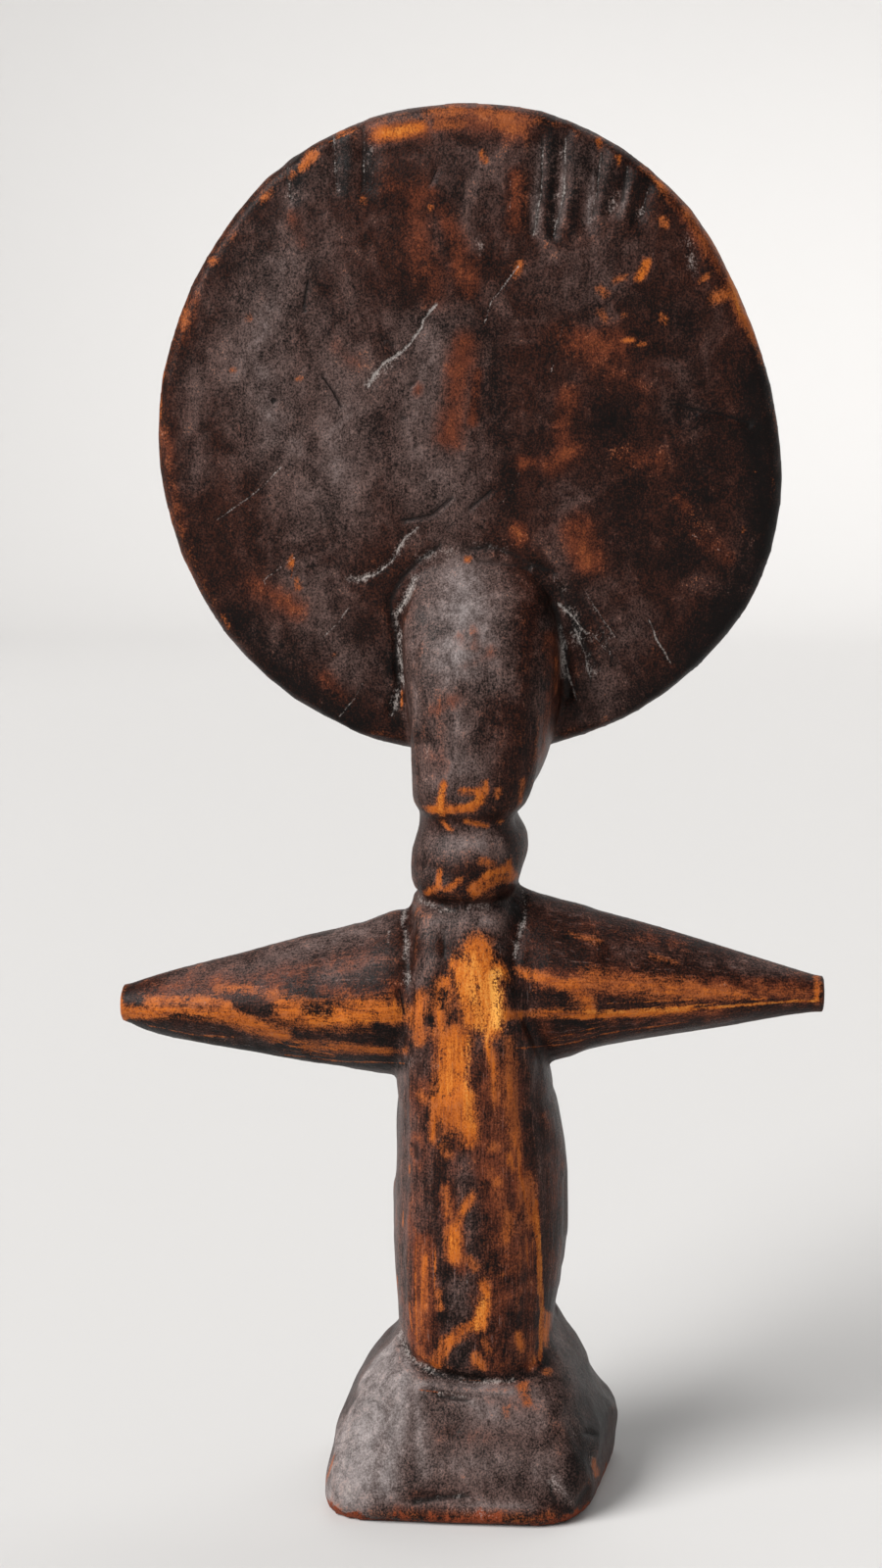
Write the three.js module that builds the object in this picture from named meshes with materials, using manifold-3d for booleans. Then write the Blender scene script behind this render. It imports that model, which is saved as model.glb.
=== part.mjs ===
// A standing fertility figure, carved by hand from one block of wood: a round, flat head on a ringed neck,
// a blocky body with two stub arms held straight out, and a mound of a foot.
// Millimetres, +Z up, origin on the underside of the foot, below the body. The figure's plain back is
// towards -Y, and its small face, breasts and navel are towards +Y. Left and right are as seen from the back.
import * as THREE from "three";
import { mergeVertices } from "three/addons/utils/BufferGeometryUtils.js";
import Module from "manifold-3d";

const wasm = await Module();
wasm.setup();

// Driving dimensions
const HEAD_MIDDLE_Z = 252.7;
const HEAD_RADIUS = 75;
const HEAD_LEAN_DEG = 4;
const HEAD_SIDE = -1.5;
const HEAD_DEPTH = 2;
const HEAD_MIDDLE_HALF = 5.6;
const HEAD_RIM_HALF = 3.3;
const HEAD_BACK_RIDGE = 0.9;
const RIM_SOFTNESS = 0.36;
const FOOT_CORNER_RADIUS = 14;
const SECTION_CRISPNESS = 7;
const NECK_TILT = 0.14;

// The rim was trimmed with a knife, so it is a row of short, soft flats. Each entry is a corner between two
// flats: degrees clockwise from the top, seen from the back, and how far it lies outside the mean radius.
const RIM_CORNERS = [
  [-2, 2.5], [13, 2.6], [28, 1.3], [45, -0.4], [61, -3.1], [80, -3.0], [97, -0.5], [110, 1.0],
  [121, 1.8], [134, 1.4], [148, 1.3], [164, 0.4], [180, 0.0], [197, 0.2], [214, 0.4], [231, -0.4],
  [248, -1.3], [265, -1.4], [282, -1.3], [300, -0.9], [314, 0.0], [327, 2.3], [343, 2.9],
];

// The body, from inside the foot up to the neck: height, left, right, back, front and corner cut. A corner
// cut of 1 would be a diamond and of 2 a plain box: between them the corners are chamfered.
const TORSO = [
  [27, -15.6, 17.0, -17.6, 17.0, 1.6],
  [32, -16.8, 19.2, -20.2, 19.0, 1.64],
  [37, -17.6, 20.4, -21.6, 20.0, 1.66],
  [46, -18.1, 21.0, -21.9, 21.0, 1.62],
  [62, -19.2, 23.2, -21.6, 22.0, 1.58],
  [78, -18.5, 23.0, -20.8, 20.6, 1.58],
  [92, -17.9, 21.0, -20.2, 18.0, 1.6],
  [106, -17.6, 18.0, -20.2, 16.6, 1.66],
  [120, -16.8, 15.2, -19.8, 16.0, 1.7],
  [132, -15.4, 12.4, -18.2, 14.8, 1.7],
  [142.5, -14.4, 11.4, -15.4, 12.8, 1.66],
  [145, -13.8, 10.8, -13.8, 11.8, 1.6],
  [146.6, -12.4, 10.2, -11.6, 10.6, 1.5],
];

// The neck: a groove, one thick ring, a second groove, then the stem that climbs the back of the head.
const NECK = [
  [141, -12.4, 10.6, -12.0, 10.4, 1.5],
  [146.2, -12.6, 10.3, -12.4, 10.4, 1.45],
  [148.6, -14.0, 10.8, -15.0, 12.4, 1.45],
  [153, -14.4, 12.0, -16.4, 13.4, 1.45],
  [157, -13.9, 13.2, -16.4, 13.6, 1.45],
  [160.6, -12.7, 12.8, -15.4, 12.8, 1.45],
  [163.6, -12.1, 11.2, -13.6, 11.2, 1.5],
  [166.4, -12.1, 11.2, -13.8, 11.2, 1.55],
  [169.4, -13.6, 13.4, -15.9, 12.2, 1.6],
  [174, -14.1, 15.9, -16.9, 13.0, 1.62],
  [182, -14.7, 18.8, -17.4, 12.6, 1.62],
  [192, -15.8, 20.7, -16.8, 9.6, 1.62],
  [203, -17.0, 21.5, -14.8, 6.0, 1.62],
  [212, -16.9, 20.4, -12.0, 4.0, 1.62],
  [218, -15.2, 17.8, -8.0, 4.0, 1.6],
  [222, -12.8, 14.6, -4.4, 3.4, 1.6],
  [225.6, -9.0, 10.4, -1.4, 2.4, 1.6],
];

// The arms, from inside the body out to the tip: reach from the middle, foot side, neck side, back, front
// and corner cut. A cut near 1 leaves a soft ridge along the arm's back.
const ARM_LEFT = [
  [0, 100.2, 145.0, -15.6, 14.0, 1.26],
  [18.3, 100.8, 141.4, -15.8, 13.8, 1.26],
  [26, 101.8, 138.2, -15.4, 13.0, 1.25],
  [41, 103.3, 135.0, -14.2, 11.8, 1.24],
  [56, 105.9, 130.6, -11.8, 10.0, 1.24],
  [72, 108.4, 126.2, -8.8, 7.8, 1.28],
  [80, 110.6, 123.6, -6.4, 6.0, 1.34],
  [84.6, 113.0, 121.8, -4.8, 4.8, 1.4],
];
const ARM_RIGHT = [
  [0, 101.2, 150.6, -14.8, 14.0, 1.26],
  [12.8, 103.4, 147.4, -15.4, 13.8, 1.26],
  [20.3, 105.2, 144.7, -15.4, 13.2, 1.25],
  [31.5, 108.3, 142.2, -14.8, 12.4, 1.24],
  [46.4, 111.2, 138.2, -12.6, 10.8, 1.24],
  [61.3, 113.9, 133.6, -9.8, 8.6, 1.28],
  [76.2, 117.0, 129.0, -6.6, 6.2, 1.34],
  [83.6, 118.0, 126.8, -4.6, 4.6, 1.4],
];

// The foot, level by level: height, then its four corners before rounding, anticlockwise from the back left.
const FOOT = [
  [0, [-34.0, -31.0], [27.4, -31.2], [35.4, 26.0], [-31.6, 27.5]],
  [3, [-34.8, -31.6], [28.2, -31.8], [36.6, 26.5], [-32.2, 28.2]],
  [8, [-34.6, -31.2], [29.4, -31.2], [37.4, 26.2], [-32.0, 27.8]],
  [15, [-32.4, -29.0], [29.4, -29.0], [37.4, 25.2], [-30.2, 26.0]],
  [20, [-30.8, -26.8], [28.4, -26.8], [33.4, 24.4], [-28.8, 24.8]],
  [25, [-28.6, -24.4], [26.2, -24.4], [30.0, 23.0], [-26.6, 23.6]],
  [32, [-23.2, -20.0], [22.4, -20.0], [26.9, 20.6], [-21.8, 21.2]],
  [40, [-17.6, -15.4], [18.6, -15.4], [22.6, 17.8], [-16.8, 18.0]],
  [48, [-13.6, -11.0], [14.4, -11.0], [16.6, 14.0], [-13.0, 14.0]],
];

// Face and body marks. On the head they are placed sideways and up from its middle, in its own plane.
const BROW_HALF = 29;
const BROW_Z = -13;
const NOSE_TIP_Z = -41;
const EYE = { side: 14.5, up: -25.5, half: [7.2, 3.4, 3.2] };
const MOUTH = { side: 0, up: -51, half: [6.0, 2.6, 2.8] };
const BREAST = { side: 8.6, z: 109, radius: 7.6, reach: 7.6 };
const NAVEL = { z: 80, radius: 3.8, reach: 4.2 };
const FRONT_MIDDLE_X = 0.6;

const rad = THREE.MathUtils.degToRad;

// A smooth curve through stations, one column at a time, which never swings past a station's own value.
function throughStations(stations, column) {
  const at = stations.map((s) => s[0]);
  const value = stations.map((s) => s[column]);
  const slope = at.slice(1).map((a, i) => (value[i + 1] - value[i]) / (a - at[i]));
  const tangent = value.map((_, i) => {
    if (i === 0 || i === value.length - 1) return slope[Math.min(i, slope.length - 1)];
    const [before, after] = [slope[i - 1], slope[i]];
    return before * after <= 0 ? 0 : (2 * before * after) / (before + after);
  });
  return (x) => {
    let i = at.findIndex((a, k) => k < at.length - 1 && x <= at[k + 1]);
    if (i < 0) i = at.length - 2;
    const step = at[i + 1] - at[i];
    const t = (x - at[i]) / step;
    const [t2, t3] = [t * t, t * t * t];
    return (2 * t3 - 3 * t2 + 1) * value[i] + (t3 - 2 * t2 + t) * step * tangent[i]
      + (3 * t2 - 2 * t3) * value[i + 1] + (t3 - t2) * step * tangent[i + 1];
  };
}

// A lopsided box section with chamfered, softened corners. Its four sides each lie at their own place, so
// left and back are negative.
function carvedSection(left, right, back, front, cornerCut, sides) {
  const points = [];
  const soft = SECTION_CRISPNESS;
  const atSide = (1 + (1 / cornerCut) ** soft) ** (1 / soft);
  for (let k = 0; k < sides; k++) {
    const angle = (2 * Math.PI * (k + 0.5)) / sides;
    const [c, s] = [Math.abs(Math.cos(angle)), Math.abs(Math.sin(angle))];
    const reach = atSide / (c ** soft + s ** soft + ((c + s) / cornerCut) ** soft) ** (1 / soft);
    const u = reach * c * (Math.cos(angle) > 0 ? right : -left) * Math.sign(Math.cos(angle));
    const v = reach * s * (Math.sin(angle) > 0 ? front : -back) * Math.sign(Math.sin(angle));
    points.push([u, v]);
  }
  return points;
}

// A quadrilateral with rounded corners, its corners given anticlockwise.
function roundedQuad(corners, radius, stepsPerCorner) {
  const points = [];
  corners.forEach((corner, i) => {
    const here = new THREE.Vector2(...corner);
    const previous = new THREE.Vector2(...corners[(i + 3) % 4]);
    const next = new THREE.Vector2(...corners[(i + 1) % 4]);
    const start = here.clone().add(previous.sub(here).setLength(radius));
    const end = here.clone().add(next.sub(here).setLength(radius));
    const bend = new THREE.QuadraticBezierCurve(start, here, end);
    bend.getPoints(stepsPerCorner).forEach((p) => points.push([p.x, p.y]));
  });
  return points;
}

// A closed solid skinned over rings of points, each ring with the same number of points.
function skin(rings) {
  const sides = rings[0].length;
  const position = rings.flat(2);
  const index = [];
  for (let r = 0; r < rings.length - 1; r++) {
    for (let k = 0; k < sides; k++) {
      const next = (k + 1) % sides;
      const [a, b] = [r * sides + k, r * sides + next];
      const [c, d] = [(r + 1) * sides + k, (r + 1) * sides + next];
      index.push(a, b, d, a, d, c);
    }
  }
  const addCap = (ring, first, flip) => {
    const middle = position.length / 3;
    for (let axis = 0; axis < 3; axis++) {
      position.push(ring.reduce((sum, p) => sum + p[axis], 0) / sides);
    }
    for (let k = 0; k < sides; k++) {
      const [a, b] = [first + k, first + ((k + 1) % sides)];
      index.push(...(flip ? [middle, b, a] : [middle, a, b]));
    }
  };
  addCap(rings[0], 0, true);
  addCap(rings[rings.length - 1], (rings.length - 1) * sides, false);
  return solidOf(position, index);
}

// A manifold solid, turned the right way out.
function solidOf(position, index) {
  const make = (triangles) => new wasm.Manifold(new wasm.Mesh({
    numProp: 3,
    vertProperties: new Float32Array(position),
    triVerts: new Uint32Array(triangles),
  }));
  const solid = make(index);
  if (solid.volume() > 0) return solid;
  const turned = [];
  for (let i = 0; i < index.length; i += 3) turned.push(index[i], index[i + 2], index[i + 1]);
  return make(turned);
}

// A closed three.js geometry as a manifold solid.
function solidFromGeometry(geometry) {
  const bare = new THREE.BufferGeometry().setAttribute("position", geometry.getAttribute("position"));
  bare.setIndex(geometry.index);
  const merged = mergeVertices(bare, 1e-4);
  return solidOf(merged.attributes.position.array, Array.from(merged.index.array));
}

// Rings of a lopsided loft, at the stations and evenly between them. The first four values of a station's
// section are its lowest and highest reach along one direction, then along the other.
function loft(stations, stepsBetween, sectionAt) {
  const columns = stations[0].map((_, c) => (c === 0 ? null : throughStations(stations, c)));
  const rings = [];
  stations.slice(0, -1).forEach((station, i) => {
    const last = i === stations.length - 2;
    for (let s = 0; s < stepsBetween + (last ? 1 : 0); s++) {
      const at = THREE.MathUtils.lerp(station[0], stations[i + 1][0], s / stepsBetween);
      rings.push(sectionAt(at, ...columns.slice(1).map((f) => f(at))));
    }
  });
  return skin(rings);
}

// The body and the neck. The neck's grooves were cut a little lower at the back than at the front.
function upright(stations, sides) {
  return loft(stations, 2, (z, left, right, back, front, cut) => {
    const tilt = NECK_TILT * THREE.MathUtils.smoothstep(z, 125, 142);
    return carvedSection(left, right, back, front, cut, sides).map(([x, y]) => [x, y, z + y * tilt]);
  });
}

// An arm's section is drawn about the middle between its foot side and its neck side.
function arm(stations, side) {
  return loft(stations, 2, (reach, below, above, back, front, cut) => {
    const middle = (below + above) / 2;
    return carvedSection(back, front, below - middle, above - middle, cut, 28)
      .map(([y, z]) => [side * reach, y, z + middle]);
  });
}

function foot() {
  const columns = [1, 2, 3, 4].flatMap((corner) => [0, 1].map((axis) => (
    throughStations(FOOT.map((level) => [level[0], level[corner][axis]]), 1))));
  const heights = FOOT.flatMap((level, i) => {
    const above = FOOT[i + 1];
    return above && i > 1 ? [level[0], (level[0] + above[0]) / 2] : [level[0]];
  });
  return skin(heights.map((z) => {
    const at = columns.map((f) => f(z));
    const corners = [0, 2, 4, 6].map((i) => [at[i], at[i + 1]]);
    const radius = Math.min(FOOT_CORNER_RADIUS, (corners[1][0] - corners[0][0]) * 0.3);
    return roundedQuad(corners, radius, 6).map(([x, y]) => [x, y, z]);
  }));
}

// The rim's outline in the head's own plane, as [sideways, up]: flats with their corners rounded off.
function rimOutline() {
  const corners = RIM_CORNERS.map(([degrees, outside]) => new THREE.Vector2(
    (HEAD_RADIUS + outside) * Math.sin(rad(degrees)),
    (HEAD_RADIUS + outside) * Math.cos(rad(degrees))));
  return corners.flatMap((here, i) => {
    const before = corners[(i + corners.length - 1) % corners.length];
    const after = corners[(i + 1) % corners.length];
    const start = here.clone().lerp(before, RIM_SOFTNESS);
    const end = here.clone().lerp(after, RIM_SOFTNESS);
    return new THREE.QuadraticBezierCurve(start, here, end).getPoints(2).map((p) => [p.x, p.y]);
  });
}

// How far the head's two faces stand from its middle plane, by share of the way out to the rim.
function headHalf(share) {
  return HEAD_RIM_HALF + (HEAD_MIDDLE_HALF - HEAD_RIM_HALF) * (1 - share ** 2.2);
}

// From the head's own plane (sideways, up, towards the front) to the figure's frame.
function fromHead(side, up, out) {
  const lean = rad(HEAD_LEAN_DEG);
  return [
    HEAD_SIDE + side,
    HEAD_DEPTH + out * Math.cos(lean) - up * Math.sin(lean),
    HEAD_MIDDLE_Z + out * Math.sin(lean) + up * Math.cos(lean),
  ];
}

// The back was dressed in two broad planes that meet in a faint upright ridge.
function head() {
  const outline = rimOutline();
  const ring = (share, outAt) => outline.map(([u, v]) => fromHead(u * share, v * share, outAt(u * share)));
  const ridge = (u) => HEAD_BACK_RIDGE * Math.max(0, 1 - Math.abs(u + 3) / HEAD_RADIUS);
  const shares = [0.08, 0.3, 0.55, 0.78, 0.93, 0.975];
  const back = shares.map((s) => ring(s, (u) => -headHalf(s) - (s < 0.95 ? ridge(u) * (1 - s ** 4) : 0)));
  const edge = [
    ring(0.994, () => -HEAD_RIM_HALF * 0.6),
    ring(1, () => 0),
    ring(0.994, () => HEAD_RIM_HALF * 0.6),
  ];
  const front = shares.map((s) => ring(s, () => headHalf(s))).reverse();
  return skin([...back, ...edge, ...front]);
}

// An egg-shaped boss on the front of the head.
function faceBoss({ side, up, half }, mirror) {
  const egg = new THREE.SphereGeometry(1, 14, 8);
  egg.scale(half[0], half[2], half[1]);
  const [x, y, z] = fromHead(side * mirror, up, headHalf(Math.hypot(side, up) / HEAD_RADIUS));
  egg.rotateX(rad(HEAD_LEAN_DEG));
  egg.translate(x, y, z);
  return solidFromGeometry(egg);
}

// A rounded, tapering ridge along a path on the front of the head. Each stop of the path gives its place
// sideways and up, then the ridge's half width and how far it stands out.
function faceRidge(stops, rings) {
  const path = new THREE.CatmullRomCurve3(stops.map(([u, v]) => new THREE.Vector3(u, v, 0)));
  const shape = new THREE.CatmullRomCurve3(stops.map(([, , w, h]) => new THREE.Vector3(w, h, 0)));
  return skin(Array.from({ length: rings + 1 }, (_, i) => {
    const [at, size, along] = [path.getPoint(i / rings), shape.getPoint(i / rings), path.getTangent(i / rings)];
    const base = headHalf(Math.hypot(at.x, at.y) / HEAD_RADIUS) - 1;
    return Array.from({ length: 8 }, (_, k) => {
      const angle = (2 * Math.PI * k) / 8;
      const across = size.x * Math.cos(angle);
      const out = base + (size.y + 1) * Math.max(Math.sin(angle), -0.5);
      return fromHead(at.x - along.y * across, at.y + along.x * across, out);
    });
  }));
}

// Two arched brows that run down into one long nose, broader at its foot.
function browsAndNose() {
  const brow = (mirror) => faceRidge([
    [0, BROW_Z - 8, 2.2, 2.4], [mirror * 5, BROW_Z - 2, 2.4, 2.6], [mirror * 14, BROW_Z + 1.5, 2.4, 2.4],
    [mirror * 23, BROW_Z - 2, 1.9, 1.8], [mirror * BROW_HALF, BROW_Z - 9, 0.9, 0.6],
  ], 10);
  const middle = (BROW_Z + NOSE_TIP_Z) / 2;
  const nose = faceRidge([
    [0, BROW_Z - 4, 2.6, 2.0], [0, middle, 2.8, 3.2], [0, NOSE_TIP_Z + 4, 3.8, 4.4],
    [0, NOSE_TIP_Z, 4.2, 4.2], [0, NOSE_TIP_Z - 1.6, 3.4, 1.6],
  ], 8);
  return wasm.Manifold.union([brow(1), brow(-1), nose]);
}

// A blunt cone standing out of the front of the body.
function bodyBoss(x, z, frontY, radius, reach) {
  const profile = [[0, -3], [radius, -3], [radius, 0], [radius * 0.8, reach * 0.36],
    [radius * 0.52, reach * 0.74], [radius * 0.26, reach * 0.95], [0, reach]];
  const cone = new THREE.LatheGeometry(profile.map(([r, h]) => new THREE.Vector2(r, h)), 18);
  cone.translate(x, frontY, z);
  return solidFromGeometry(cone);
}

function bodyMarks() {
  const frontAt = throughStations(TORSO, 4);
  const breasts = [-1, 1].map((side) => bodyBoss(
    FRONT_MIDDLE_X + side * BREAST.side, BREAST.z, frontAt(BREAST.z) - 0.6, BREAST.radius, BREAST.reach));
  const navel = bodyBoss(FRONT_MIDDLE_X, NAVEL.z, frontAt(NAVEL.z) - 0.4, NAVEL.radius, NAVEL.reach);
  return wasm.Manifold.union([...breasts, navel]);
}

// Everything is one piece of wood, so every form is fused into one solid.
function figureGeometry() {
  const fused = wasm.Manifold.union([
    foot(), upright(TORSO, 36), upright(NECK, 30), arm(ARM_LEFT, -1), arm(ARM_RIGHT, 1), head(),
    browsAndNose(), faceBoss(EYE, 1), faceBoss(EYE, -1), faceBoss(MOUTH, 1), bodyMarks(),
  ]);
  const mesh = fused.getMesh();
  const geometry = new THREE.BufferGeometry();
  geometry.setAttribute("position", new THREE.BufferAttribute(mesh.vertProperties, 3));
  geometry.setIndex(new THREE.BufferAttribute(mesh.triVerts, 1));
  geometry.computeVertexNormals();
  return geometry;
}

const darkStainedWood = new THREE.MeshStandardMaterial({ color: 0x3a2c28, roughness: 0.55, metalness: 0 });

const figure = new THREE.Mesh(figureGeometry(), darkStainedWood);
figure.name = "carved_figure";

const fertilityFigure = new THREE.Group();
fertilityFigure.add(figure);

export default fertilityFigure;
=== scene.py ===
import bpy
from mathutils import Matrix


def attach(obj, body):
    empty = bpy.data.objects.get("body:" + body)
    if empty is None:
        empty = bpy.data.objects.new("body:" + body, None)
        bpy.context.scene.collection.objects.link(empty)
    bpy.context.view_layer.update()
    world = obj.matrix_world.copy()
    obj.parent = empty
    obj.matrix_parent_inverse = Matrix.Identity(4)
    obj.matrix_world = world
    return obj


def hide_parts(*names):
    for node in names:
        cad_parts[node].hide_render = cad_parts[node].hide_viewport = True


bl_info = {
    "name": "Carved Disc-Headed Figurine",
    "version": (1, 0, 0),
    "blender": (4, 5, 0),
    "location": "View3D > Sidebar > Figurine",
    "description": "Knife-cut relief and worn dark stain for a carved wooden figurine",
    "category": "Add Mesh",
}

import math

import bmesh
import bpy
import numpy as np
from bpy.props import FloatProperty, FloatVectorProperty, PointerProperty
from mathutils import Vector

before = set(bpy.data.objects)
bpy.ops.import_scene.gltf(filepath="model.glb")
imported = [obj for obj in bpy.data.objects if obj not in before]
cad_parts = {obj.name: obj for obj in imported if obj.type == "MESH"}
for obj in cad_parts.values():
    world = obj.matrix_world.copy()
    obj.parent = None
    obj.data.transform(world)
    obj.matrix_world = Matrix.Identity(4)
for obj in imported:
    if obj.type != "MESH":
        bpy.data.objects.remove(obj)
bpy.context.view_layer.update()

MM = 0.001
PIECE = "carved_wood"
NODE = "carved_figure"

# The head's plate: its middle in millimetres, its lean in degrees, and how far out from its
# middle, how far to either side and how low down its points lie, in millimetres.
PLATE_MIDDLE = np.array([-1.5, 2.0, 252.7])
PLATE_LEAN = 4.0
PLATE_REACH = 81.0
PLATE_THICK = 7.2
PLATE_LOW = 172.0

# Where the other parts begin and end, from the middle line or above the floor, in millimetres.
ARM_START = 16.5
ARM_LOW = 98.0
ARM_HIGH = 152.0
NECK_LOW = 146.0
FOOT_HIGH = 34.0

# The knife cuts of each part: the size of one cut across, through and up in millimetres, how
# unevenly it is held in degrees, and how far it may lift or lower the wood in millimetres.
KNIFE_CUTS = (
    ("plate", (22, 30, 22), 0.5, 0.28), ("neck", (8, 9, 44), 1.4, 0.4),
    ("trunk", (9.5, 10, 40), 1.2, 0.36), ("arms", (28, 8, 8), 1.2, 0.3),
    ("foot", (24, 24, 22), 2.0, 0.5),
)
CUT_SEED = 41
# How strongly the grain draws out the stain on each part.
STREAKY = {"plate": 0.35, "neck": 0.7, "foot": 0.55, "trunk": 1.0, "arms": 1.0}
# How deep the lids and lips are cut, where that cut's edge begins and ends beside its middle, and
# how far up the foot the raw edge comes, in millimetres.
LID_DEPTH = 0.55
LID_EDGE = (0.2, 1.3)
RAW_HEIGHT = 2.4

# Corners nearer than this are one corner, in metres.
SAME_CORNER = 1e-6
# Farther than any mark, in millimetres, and as far as a thin line's distance is kept.
FAR = 1e9
LINE_REACH = 5.0

# The view of the back: degrees round to the right, metres along the floor and above it, degrees
# down and aside, and a focal length in millimetres over a 36 mm tall frame of 900 x 1600 pixels.
VIEW_TURN = 4.0
VIEW_DISTANCE = 0.646
VIEW_HEIGHT = 0.2615
VIEW_TILT = 7.9
VIEW_ASIDE = 0.655
VIEW_LENS = 63.0
FRAME_HEIGHT = 36.0
PICTURE = (900, 1600)

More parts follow.
